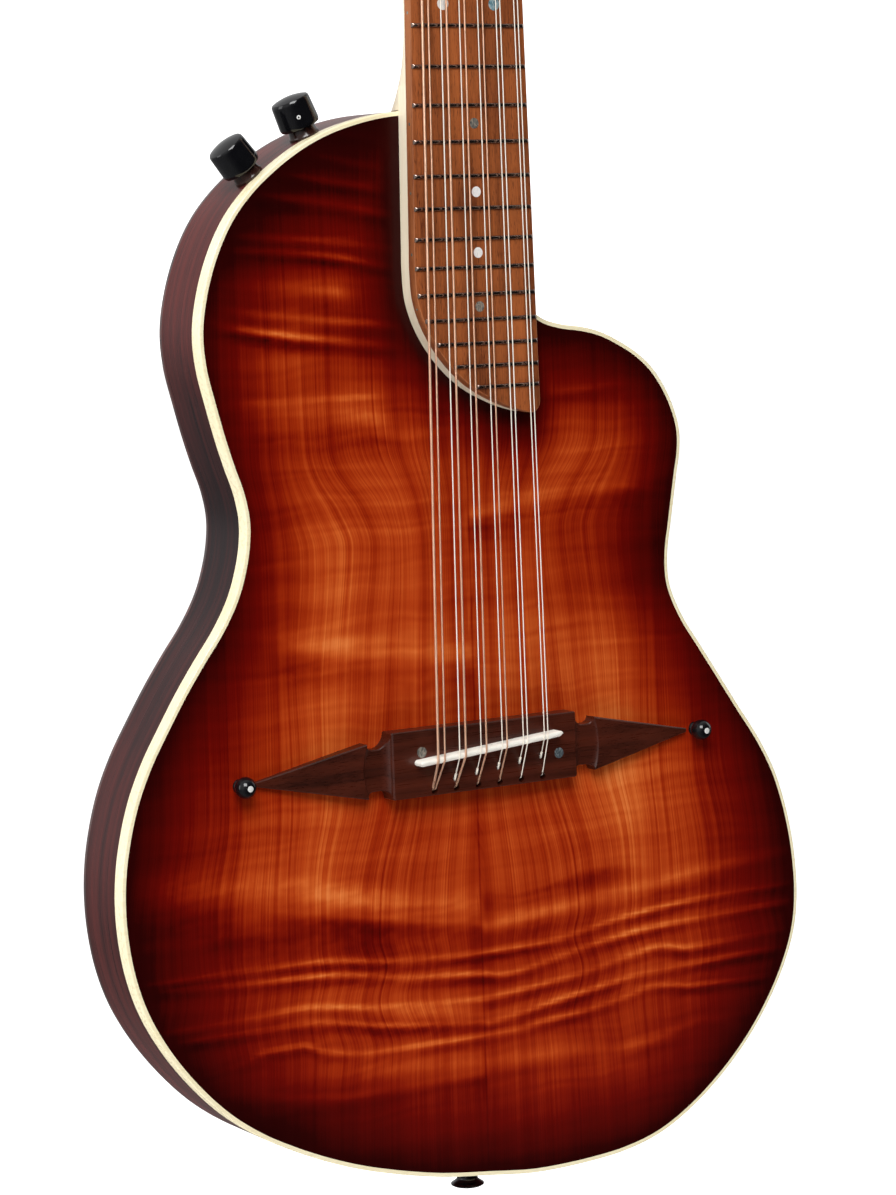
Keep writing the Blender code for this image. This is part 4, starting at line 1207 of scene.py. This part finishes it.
def make_fingerboard():
    edges = [(0.45 * (1 - cos(t)), BOARD_FRONT_Y + 0.45 * (1 - sin(t))) for t in (0.0, 0.5, 1.0, pi / 2)]
    # The walls take the lit copy of the board's rosewood: painted light
    make(
        "fingerboard_wood", plate(board_edge_line, [(0.0, BOARD_BACK_Y), *edges], camber, step=7.0),
        {"front": board_wood, "wall": board_side_painted_light, "back": board_side_painted_light}, stands_for="fingerboard",
        crease=50.0,
    )
    make("fret_wires", several([fret(n) for n in range(1, FRETS + 1)]), fret_metal)


def make_inlays():
    face = BOARD_FRONT_Y - 0.05
    dots = {"pearl": [], "abalone": [], "dark_abalone": []}
    for number, kind in SHELL_DOTS.items():
        dots[kind].append(disc(1.5, middle_z(number), 2.4, face))
    dots["pearl"].append(disc(-13.0, middle_z(12), 2.9, face + 0.08))
    dots["abalone"].append(disc(14.0, middle_z(12), 2.9, face + 0.08))
    for finish in (pearl, abalone, dark_abalone):
        make(f"inlays_{finish.name}", several(dots[finish.name]), finish)
    rods = []
    for number, shift in SIDE_DOTS:
        z = middle_z(number) + shift
        x = board_limits(z)[0]
        rods.append(rod((x - 0.05, 3.9, z), (x + 1.2, 3.9, z), 0.7, 16))
    make("side_dots", several(rods), dark_abalone)


def make_nut():
    sections = []
    for x in np.linspace(-24.2, 24.2, 25):
        c = camber(x)
        sections.append([
            (x, 6.5, 0.35), (x, BOARD_FRONT_Y + 0.2, 0.35), (x, -1.0 + c, 0.6), (x, -1.25 + c, 1.5),
            (x, -1.15 + c, 3.0), (x, 0.2 + c, 5.2), (x, 1.6, 5.75), (x, 6.5, 5.75),
        ])
    make("nut_bone", loft(sections), bone, stands_for="nut", rounding=0.25)


# The strings

def string_x(course, which, at_nut):
    pitch = COURSE_AT_NUT if at_nut else COURSE_AT_SADDLE
    bass, treble = PAIR_AT_NUT if at_nut else PAIR_AT_SADDLE
    pair = bass + (treble - bass) * course / (COURSES - 1)
    return pitch * (course - (COURSES - 1) / 2) + pair * (which - 0.5)


def saddle_z(x):
    (x0, z0), (x1, z1) = SADDLE_ENDS
    return z0 + (z1 - z0) * (x - x0) / (x1 - x0)


def hole_x(course):
    return HOLE_SHIFT + HOLE_PITCH * (course - (COURSES - 1) / 2)


def front_hole(course):
    """(x, z) of a course's hole in the front row."""
    return hole_x(course) - 0.5, FRONT_HOLE_Z + FRONT_HOLE_SLANT * (hole_x(course) - HOLE_SHIFT)


def post_place(course, which):
    """The side and the number of a string's post: the outer courses run to the nearest posts."""
    order = 2 * course + which
    return (-1, order) if course < COURSES / 2 else (1, 2 * COURSES - 1 - order)


def string_path(course, which, rear):
    """A string's course from inside the bridge to its post, and where it meets its hole and the saddle."""
    radius = STRING_RADII[course][which]
    side, order = post_place(course, which)
    saddle_x = string_x(course, which, False)
    x, z = (hole_x(course), REAR_HOLE_Z) if rear else front_hole(course)
    if course == 0:
        # Both strings of the first course share a hole
        x += 1.4 * (which - 0.5)
    saddle = Vector((saddle_x, STRING_SADDLE_Y, saddle_z(saddle_x)))
    hole = Vector((x, DECK_Y + 0.6, z + (0.9 if rear else 0.0)))
    nut = Vector((string_x(course, which, True), STRING_NUT_Y, 2.4))
    post = HEAD @ Vector((side * (POST_X - 3.3 - radius), STRING_ON_POST, FIRST_POST + POST_PITCH * order))
    path = [Vector((x, DECK_Y + 3.2, z - 0.3)), hole, saddle + (hole - saddle).normalized() * 1.1]
    path += [saddle + Vector((0, -0.08, -0.2)), saddle + (nut - saddle).normalized() * 1.3]
    path += [saddle.lerp(nut, k / 8) for k in range(1, 8)]
    path += [nut + (saddle - nut).normalized() * 1.5, nut, nut + (post - nut).normalized() * 2.5]
    return [*path, nut.lerp(post, 0.5), post], hole, saddle


def post_coil(radius):
    """Three turns of string round a post."""
    reach, steps = 3.05 + radius, 20
    turns = [(tau * k / steps, k / steps) for k in range(3 * steps + 1)]
    coil = [(reach * cos(a), reach * sin(a), -STRING_ON_POST - n * 2 * radius * 1.06) for a, n in turns]
    return tube(coil, radius, 8)


def make_strings():
    knots = []
    for course in range(COURSES):
        for which in (0, 1):
            rear = which == 1 or course == 0
            radius = STRING_RADII[course][which]
            path, hole, saddle = string_path(course, which, rear)
            finish = bronze_string if WOUND[course][which] else steel_string
            make(
                f"string_{course + 1}_{'ab'[which]}", tube(path, radius, 10), finish,
                stands_for=f"string_course_{course + 1}", crease=70.0,
            )
            # The ball end's twist is seen where a string goes down close behind the saddle
            if not rear:
                twist_end = hole + (saddle - hole).normalized() * 2.6
                knots.append(rod(hole + Vector((0, 0.4, -1.0)), twist_end, 0.55, 10))
            side, order = post_place(course, which)
            name = f"post_{'bass' if side < 0 else 'treble'}_{order + 1}"
            make(
                f"winding_{name}", post_coil(radius), finish, name, crease=70.0,
                place=joint_place(name, (1.0, 0.0, 0.0)),
            )
    make("string_twists", several(knots), steel_string, crease=50.0)


# The bridge

BLOCK_END = 50.0
BLOCK_HALF = 15.4
BLOCK_HEIGHT = 9.0
BLOCK_ROUNDING = 0.7
WING_SCOOP = 3.5                  # reach of the hollow at the root of each wing
WING_END = 117.5


def cove(t):
    """From 1 at t = 0 down a quarter ellipse to 0 at t = 1, steep first."""
    t = min(1.0, max(0.0, t))
    return 1 - sqrt(1 - (1 - t) ** 2)


def bridge_size(x):
    """Half length along z, height over the top and centre z of the bridge at |x|."""
    if x <= BLOCK_END:
        share = max(0.0, (x - BLOCK_END + BLOCK_ROUNDING) / BLOCK_ROUNDING)
        return BLOCK_HALF - 0.4 * share, BLOCK_HEIGHT - 0.6 * share, BRIDGE_CENTRE_Z
    drop = min(1.0, (x - BLOCK_END) / COVE)
    centre = BRIDGE_CENTRE_Z + (BRIDGE_DROOP - BRIDGE_CENTRE_Z) * drop
    if x <= WING_ROOT - WING_SCOOP:
        return 9.6 + 5.4 * cove(drop), 5.5 + 2.9 * cove(drop), centre
    if x <= WING_ROOT:
        rise = cove((WING_ROOT - x) / WING_SCOOP)
        return 9.6 + 3.0 * rise, 5.5 + 1.4 * rise, centre
    share = (x - WING_ROOT) / (WING_END - WING_ROOT)
    return 12.6 + (0.9 - 12.6) * share, 6.9 + (2.6 - 6.9) * share, centre


def bridge_section(x, sign):
    half, height, centre = bridge_size(x)
    front = TOP_Y - height
    chamfer = min(0.5, half * 0.3)
    ring = [(sign * x, TOP_Y, centre + half), (sign * x, front + chamfer, centre + half)]
    for share in np.linspace(1, -1, 13):
        # The scooped faces at the neck of a wing are hollow across, too
        bulge = 2.4 * (1 - share * share) * max(0.0, min(1.0, (x - 56.5) / 3.0, (74.5 - x) / 9.0))
        ring.append((sign * (x + bulge), front, centre + (half - chamfer) * share))
    return [*ring, (sign * x, front + chamfer, centre - half), (sign * x, TOP_Y, centre - half)]


def make_bridge():
    scoop = WING_ROOT - WING_SCOOP
    places = [0.0, 16.0, 32.0, 44.0, BLOCK_END - BLOCK_ROUNDING, BLOCK_END]
    places += [BLOCK_END + COVE * (1 - cos(pi / 2 * k / 10)) for k in range(1, 11)]
    places += [56.2, 57.2, scoop] + [scoop + WING_SCOOP * sin(pi / 2 * k / 8) for k in range(1, 9)]
    places += [64.3, 67.5, 72.0, 78.0, 85.0, 95.0, 105.0, 112.0, 116.6, WING_END]
    sections = [bridge_section(x, -1) for x in reversed(places[1:])] + [bridge_section(x, 1) for x in places]
    bridge = make(
        "bridge_carved", loft(sections), bridge_wood, stands_for="bridge", crease=24.0
    )
    spots = []
    for course in range(COURSES):
        spots.append((hole_x(course), REAR_HOLE_Z, 1.6))
        if course:
            spots.append((*front_hole(course), 1.5))
    holes = [rod((x, DECK_Y - 2, z), (x, DECK_Y + 5, z), radius, 20) for x, z, radius in spots]
    carve(bridge, several(holes))
    make("bridge_dot_treble", disc(40.0, -658.4, 2.5, DECK_Y - 0.05), blue_abalone)
    make("bridge_dot_bass", disc(-34.5, -650.2, 2.5, DECK_Y - 0.05), dark_abalone)


def make_saddle():
    """A slanted strip with round ends, its rear edge scalloped between the courses."""
    (x0, z0), (x1, z1) = SADDLE_ENDS
    length = hypot(x1 - x0, z1 - z0)
    lie = atan2(z1 - z0, x1 - x0)
    half = SADDLE_WIDTH / 2
    ends = (0.15, 0.5, 1.0)
    marks = sorted({*np.linspace(0, length, 97), *ends, *(length - end for end in ends)})
    sections = []
    for mark in marks:
        x = x0 + (x1 - x0) * mark / length
        near_end = min(mark, length - mark)
        width = half * sqrt(max(0.03, 1 - (1 - min(1.0, near_end / half)) ** 2))
        crest = -1.62 - 0.35 * mark / length + 0.5 * (1 - min(1.0, near_end / 3.0)) ** 2
        scallop = 0.9 * abs(sin(pi * (x - hole_x(0)) / HOLE_PITCH)) ** 0.7 if near_end > 3 else 0.9
        rear = -width + scallop * width / half
        ring = [
            (-width, 8.0), (-width, crest + 1.6), (rear, crest + 0.45), (rear + 0.35 * width, crest + 0.05),
            (0.45 * width, crest), (0.8 * width, crest + 0.15), (width, crest + 0.6), (width, 8.0),
        ]
        z = z0 + (z1 - z0) * mark / length
        sections.append([(x - sin(lie) * across, y, z + cos(lie) * across) for across, y in ring])
    make("saddle_bone", loft(sections), bone, stands_for="saddle", crease=45.0)


def make_pins():
    """A ball on a short foot, with a pale eye set in its front."""
    turns = [radians(d) for d in range(-60, 72, 10)]
    ball = [(2.6, -0.5), (3.3, 0.0), (3.4, 0.5), (3.0, 1.1)]
    ball += [(PIN_RADIUS * cos(turn), 6.0 + PIN_RADIUS * sin(turn)) for turn in turns]
    ball += [(1.55, 10.65), (1.45, 10.45), (0.0, 10.45)]
    eye = ((1.4, 10.35), (1.4, 10.7), (0.95, 10.9), (0.0, 11.0))
    for sign, name in SIDES:
        place = at(sign * PIN_X, TOP_Y, PIN_Z) @ TO_FRONT
        make(
            f"ball_pin_{name}", lathe(ball, 40), black_gloss, stands_for=f"bridge_pin_{name}",
            place=place, crease=50.0,
        )
        make(f"pin_eye_{name}", lathe(eye, 24), pin_white_and_painted_glint, place=place)


# Knobs, jack, strap button and rear cover

KNOB = (
    (0.0, 4.4), (8.0, 4.4), (8.8, 4.8), (9.2, 5.7), (9.25, 6.6), (8.9, 15.9), (8.75, 17.0), (8.3, 17.6),
    (6.6, 18.2), (4.3, 18.7), (2.0, 19.0), (0.0, 19.1),
)
COLLAR = (
    (3.4, -10.0), (8.3, -10.0), (8.3, -4.2), (4.6, -4.2), (4.6, -2.0), (7.0, -2.0), (7.0, 0.8), (6.6, 1.6),
    (6.1, 4.1), (3.4, 4.1),
)
SET_SCREW = ((0.95, -0.6), (0.95, 0.1), (0.75, 0.2), (0.45, 0.22), (0.35, -0.2), (0.0, -0.2))
JACK = (
    (3.2, -820.0), (4.75, -820.0), (4.75, -855.0), (7.0, -855.0), (7.0, -857.6), (6.4, -858.2), (5.0, -858.8),
    (4.8, -860.0), (5.2, -861.2), (6.6, -862.3), (7.7, -863.0), (7.9, -863.3), (7.8, -863.6), (6.9, -864.1),
    (5.2, -864.6), (3.6, -864.75), (3.2, -864.4),
)
STRAP_BUTTON = (
    (0.0, -2.0), (6.4, -2.0), (6.6, 0.2), (6.5, 1.4), (5.4, 2.6), (4.4, 4.0), (4.0, 5.6), (4.0, 7.4),
    (4.8, 8.8), (6.4, 9.8), (7.15, 10.6), (7.1, 11.4), (6.4, 12.1), (5.0, 12.3), (2.6, 11.9), (0.0, 11.8),
)
STRAP_BUTTON_Z = -386.0


def screw(radius, height=0.9, segments=32):
    """A domed screw head with a cross recess, its seat at z = 0."""
    dome = [(radius, 0.0), (radius, height * 0.35), (radius * 0.86, height * 0.75), (radius * 0.6, height)]
    recess = [(radius * 0.5, height), (radius * 0.42, height * 0.35), (0.0, height * 0.35)]
    points, faces = lathe([*dome, *recess], segments)
    first = len(dome) * segments
    for i in range(first, first + 2 * segments):
        x, y, z = points[i]
        lobe = 0.3 + 0.7 * abs(cos(2 * atan2(y, x))) ** 4
        points[i] = (x * lobe, y * lobe, z)
    return points, faces


def make_knobs():
    for name in ("volume", "tone"):
        knob, place = f"{name}_knob", joint_place(f"{name}_knob")
        make(f"{knob}_gloss", lathe(KNOB, 56), black_gloss, knob, knob, 30.0, place)
        make(
            f"{name}_collar", ringed(COLLAR), collar_brown, stands_for=f"{name}_pot",
            place=place, crease=25.0,
        )
    # The set screw is painted pale: a painted highlight, bright whatever the screw mirrors
    spot = Matrix.Rotation(radians(-22.0), 4, "Z") @ at(0.0, -9.08, 10.2) @ TO_FRONT
    screw_end = moved(lathe(SET_SCREW, 20), spot)
    make("tone_set_screw", screw_end, pin_white_and_painted_glint, "tone_knob", place=joint_place("tone_knob"))


def make_jack():
    make(
        "end_pin_jack_socket", ringed(JACK, 48), black_chrome, stands_for="end_pin_jack",
        place=at(0.0, JACK_Y, 0.0),
    )


def make_strap_button():
    place = at(0.0, BODY_BACK_Y, STRAP_BUTTON_Z) @ TO_BACK
    make(
        "strap_button_turned", lathe(STRAP_BUTTON, 48), black_chrome, stands_for="strap_button",
        place=place,
    )
    head = at(0.0, BODY_BACK_Y + 11.5, STRAP_BUTTON_Z) @ TO_BACK
    make("strap_screw", screw(2.6, 0.8), steel, place=head)


def make_rear_cover():
    low, high = node_box("rear_cover")
    levels = [(0.0, 0.0), (0.0, 1.5), (0.25, 1.9), (0.8, 2.05)]
    levels = [(inset, BODY_BACK_Y + y) for inset, y in levels]
    lid = plate(round_box((low.x, low.z), (high.x, high.z), 5.0), levels, step=9.0)
    make("rear_cover_lid", lid, black_plastic, stands_for="rear_cover")
    screws = [
        moved(screw(1.9, 0.6), at(x, BODY_BACK_Y + 1.9, z) @ TO_BACK)
        for x in (low.x + 4.5, high.x - 4.5) for z in (low.z + 4.5, high.z - 4.5)
    ]
    make("rear_cover_screws", several(screws), steel)


# The tuners and the truss rod

POST = (
    (0.0, -21.1), (2.0, -21.1), (2.2, -20.9), (5.2, -20.9), (6.0, -21.0), (6.0, -17.0), (5.2, -17.1),
    (3.0, -17.1), (3.0, 2.4), (2.75, 3.2), (2.75, 5.2), (3.0, 6.2), (3.0, 10.6), (2.7, 11.2), (2.0, 11.45),
    (0.0, 11.45),
)
TOOTH = ((5.7, -0.14), (6.45, -0.07), (6.45, 0.07), (5.7, 0.14))     # radius and angle of its four edges
BUSHING = (
    (3.15, -13.0), (4.05, -13.0), (4.05, 0.0), (5.4, 0.05), (5.5, 0.5), (4.9, 1.3), (4.0, 1.6), (3.15, 1.6),
)
BRACKET = ((3.4, 0.0), (3.1, 1.4), (2.2, 2.7), (0.9, 3.4))           # half width and rise over the worm
BUTTON = (
    # half width, half thickness, distance along the shaft
    (2.6, 2.4, 19.2), (3.6, 2.9, 19.7), (4.6, 3.2, 20.6), (6.6, 3.6, 22.2), (8.2, 3.75, 24.2),
    (9.0, 3.7, 26.6), (9.1, 3.55, 29.4), (8.5, 3.2, 32.0), (7.0, 2.6, 34.2), (5.0, 1.9, 35.4),
    (2.4, 1.0, 35.9),
)
TRUSS_NUT = (
    (0.0, 0.1), (3.2, 0.1), (3.35, 0.4), (3.35, 11.8), (3.1, 12.15), (2.1, 12.15), (2.0, 12.0), (2.0, 5.0),
    (0.0, 5.0),
)
TOOTH_FACES = [(3, 2, 1, 0), (4, 5, 6, 7), (0, 1, 5, 4), (1, 2, 6, 5), (2, 3, 7, 6), (3, 0, 4, 7)]


def geared_post():
    """A post: its face, groove and cap in front, its toothed wheel behind."""
    parts = [lathe(POST, 32)]
    for turn in [tau * k / GEAR_TEETH for k in range(GEAR_TEETH)]:
        wedge = [(r * cos(turn + a), r * sin(turn + a), z) for z in (-20.9, -17.1) for r, a in TOOTH]
        parts.append((wedge, TOOTH_FACES))
    return several(parts)


def worm():
    """The threaded worm and its shaft, which runs on to the button."""
    shaft = lathe(((0.0, -9.3), (1.5, -9.3), (1.5, 20.4), (0.0, 20.4)), 20)
    core = lathe(((0.0, -4.4), (1.9, -4.4), (2.1, -4.1), (2.1, 4.1), (1.9, 4.4), (0.0, 4.4)), 20)
    steps = range(73)
    helix = [(2.15 * cos(tau * k / 18), 2.15 * sin(tau * k / 18), -3.6 + 7.2 * k / 72) for k in steps]
    collar = lathe(((0.0, 12.2), (2.6, 12.2), (2.8, 12.5), (2.8, 13.4), (2.5, 13.8), (0.0, 13.8)), 24)
    return several([shaft, core, tube(helix, 0.6, 6), collar])


def bracket(x, z):
    """One of the two lugs that hold a worm, bowed over it."""
    side = [(-half, WORM_DEPTH + rise) for half, rise in BRACKET]
    foot = STRIP_FRONT + 0.8
    outline = [(-3.4, foot), *side, *[(-a, y) for a, y in reversed(side)], (3.4, foot)]
    return loft([[(x + s, y, z + a) for a, y in outline] for s in (-1.2, 1.2)])


def make_tuner(side, name, index):
    post, button = f"post_{name}_{index + 1}", f"tuner_button_{name}_{index + 1}"
    place = joint_place(post, (1.0, 0.0, 0.0))
    make(f"{post}_geared", geared_post(), brass, post, post, 40.0, place)
    place = joint_place(button, HEAD.to_3x3() @ Vector((0.0, 0.0, 1.0)))
    make(f"{button}_worm", worm(), brass, button, button, 40.0, place)
    grip = loft([circle(half, z, 36, thickness) for half, thickness, z in BUTTON])
    make(f"{button}_grip", grip, black_gloss, button, crease=50.0, place=place)


def make_tuner_strip(side, name):
    """The plate behind the headstock with its bushings, worm brackets and screws."""
    low, high = sorted((side * 14.0, side * 39.0))
    levels = rounded(0.4, STRIP_FRONT + STRIP_THICKNESS, HEAD_THICKNESS + 0.02)
    flat = plate(round_box((low, 16.0), (high, 182.0), 4.0), levels, step=12.0)
    strip = make(
        f"tuner_plate_{name}", flat, nickel, stands_for=f"tuner_strip_{name}", place=HEAD
    )
    bushings, brackets, bores, screws = [], [], [], []
    for x, z in post_spots(side):
        bushings.append(moved(ringed(BUSHING, 32), at(x, 0.0, z) @ TO_FRONT))
        worm_z = z - WORM_OFFSET
        brackets += [bracket(side * (POST_X + shift), worm_z) for shift in (-7.0, 8.5)]
        bores.append(rod((side * 12.0, WORM_DEPTH, worm_z), (side * 42.0, WORM_DEPTH, worm_z), 1.62, 20))
        spot = at(side * 17.0, STRIP_FRONT + STRIP_THICKNESS, z + 6.0) @ TO_BACK
        screws.append(moved(screw(1.8, 0.8), spot))
    carve(strip, moved(several(post_holes(side, 10.0, 18.0, 3.5)), HEAD))
    make(f"bushings_{name}", several(bushings), nickel, place=HEAD, crease=30.0)
    lugs = make(f"worm_brackets_{name}", several(brackets), nickel, place=HEAD, crease=30.0)
    carve(lugs, moved(several(bores), HEAD))
    make(f"tuner_screws_{name}", several(screws), nickel, place=HEAD)


def make_tuners():
    for side, name in SIDES:
        make_tuner_strip(side, name)
        for index in range(POSTS_A_SIDE):
            make_tuner(side, name, index)


def make_truss_rod_cover():
    """A bell-shaped cover on three screws, and the rod's nut below it."""
    corner = [(13.0, 2.2), (13.0, 12.0), (11.6, 18.0), (8.4, 25.0), (5.2, 31.0), (3.6, 35.6)]
    bell = with_mirror([Vector(corner[0])] + curve_through(corner[1:], 5))
    cover = plate(bell, [(0.0, -0.02), (0.0, -1.6), (0.25, -1.95), (0.7, -2.08)], step=6.0)
    make(
        "truss_cover_bell", cover, black_plastic, stands_for="truss_rod_cover",
        place=HEAD,
    )
    spots = ((-9.5, 6.5), (9.5, 6.5), (0.0, 31.5))
    screws = [moved(screw(1.6, 0.5), at(x, -1.98, z) @ TO_FRONT) for x, z in spots]
    make("truss_cover_screws", several(screws), nickel, place=HEAD)
    nut = "truss_rod_nut"
    place = joint_place(nut, (1.0, 0.0, 0.0))
    make("truss_rod_nut_brass", lathe(TRUSS_NUT, 24), brass, nut, nut, 40.0, place)


def finish_kept_nodes():
    """CAD nodes whose own shape is shown, given their finish on the object's slots."""
    kept = {
        "truss_rod": steel, "bracing": spruce, "neck_block": mahogany, "tail_block": mahogany,
        "battery": battery_print, "preamp_board": circuit_green, "saddle_pickup": pickup_film,
    }
    for name, finish in kept.items():
        for place in frame["nodes"][name].material_slots:
            place.link = "OBJECT"
            place.material = finish


make_top()
make_binding()
make_back()
make_rims()
make_neck()
make_fingerboard()
make_inlays()
make_nut()
make_strings()
make_bridge()
make_saddle()
make_pins()
make_knobs()
make_jack()
make_strap_button()
make_rear_cover()
make_tuners()
make_truss_rod_cover()
finish_kept_nodes()


# The studio

def area_light(name, place, aim, size, power):
    data = bpy.data.lights.new(name, "AREA")
    data.shape = "RECTANGLE"
    data.size, data.size_y = size
    data.energy = power
    light = bpy.data.objects.new(name, data)
    bpy.context.scene.collection.objects.link(light)
    light.location = place
    light.rotation_euler = (Vector(aim) - Vector(place)).to_track_quat("-Z", "Y").to_euler()
    return light


def make_studio():
    scene = bpy.context.scene
    scene.view_settings.view_transform = "Standard"
    world = bpy.data.worlds.new("studio")
    scene.world = world
    world.use_nodes = True
    f = Nodes(world.node_tree)
    rays = f.add("LightPath")
    ray = f.add("TexCoord").outputs["Generated"]
    # What is mirrored in the top, towards the front and the right, is dark; the rest is a bright sweep
    mirrored = f.add("VectorMath", operation="DOT_PRODUCT")
    f.plug(mirrored.inputs[0], ray)
    f.plug(mirrored.inputs[1], (0.52, -0.85, -0.10))
    sweep = f.spread(mirrored.outputs["Value"], -0.05, 0.75, 0.62, 0.02, smooth=True)
    seen_or_lit = f.add("Mix")
    below = f.spread(f.axes(ray)["Z"], -0.30, 0.05, 0.35, 1.0)
    f.plug(seen_or_lit.inputs["Factor"], rays.outputs["Is Camera Ray"])
    f.plug(seen_or_lit.inputs["A"], f.math("MULTIPLY", sweep, below))
    f.plug(seen_or_lit.inputs["B"], 1.6)
    background = f.tree.nodes["Background"]
    f.plug(background.inputs["Strength"], seen_or_lit.outputs[0])
    f.plug(background.inputs["Color"], (1.0, 1.0, 1.0, 1.0))

    area_light("key", (-0.98, -1.53, 0.98), (0.0, 0.0, -0.55), (1.3, 1.3), 58.0)
    area_light("side", (-2.4, 0.45, -0.2), (0.0, 0.0, -0.5), (1.0, 1.4), 9.0)
    area_light("fill", (2.4, 0.1, 0.3), (0.0, 0.0, -0.5), (1.2, 1.6), 6.0)

    f = Finish("studio_floor", Roughness=0.85, Emission_Strength=0.75)
    f.shader.inputs["Emission Color"].default_value = (1.0, 1.0, 1.0, 1.0)
    cloud = f.noise(600.0)
    f.done(f.ramp(cloud, ((0.3, (0.84, 0.84, 0.84)), (0.7, (0.88, 0.88, 0.88)))), None, cloud, 0.2)
    mesh = bpy.data.meshes.new("studio_floor")
    corners = [(x, y, -1.25) for x, y in ((-12, -0.6), (12, -0.6), (12, 20), (-12, 20))]
    mesh.from_pydata(corners, [], [(0, 1, 2, 3)])
    mesh.materials.append(f.material)
    floor = bpy.data.objects.new("studio_floor", mesh)
    scene.collection.objects.link(floor)
    floor.visible_glossy = False

    data = bpy.data.cameras.new("photo_camera")
    data.lens = 101.04
    data.sensor_width = 36.0
    camera = bpy.data.objects.new("photo_camera", data)
    scene.collection.objects.link(camera)
    ahead, up = Vector((0.519948, 0.847531, -0.106511)).normalized(), Vector((0.083249, 0.073820, 0.993791))
    right = ahead.cross(up).normalized()
    camera.matrix_world = Matrix.Translation((-0.810687, -1.287239, -0.418371)) @ Matrix(
        (right, right.cross(ahead), -ahead)
    ).transposed().to_4x4()
    scene.camera = camera


make_studio()
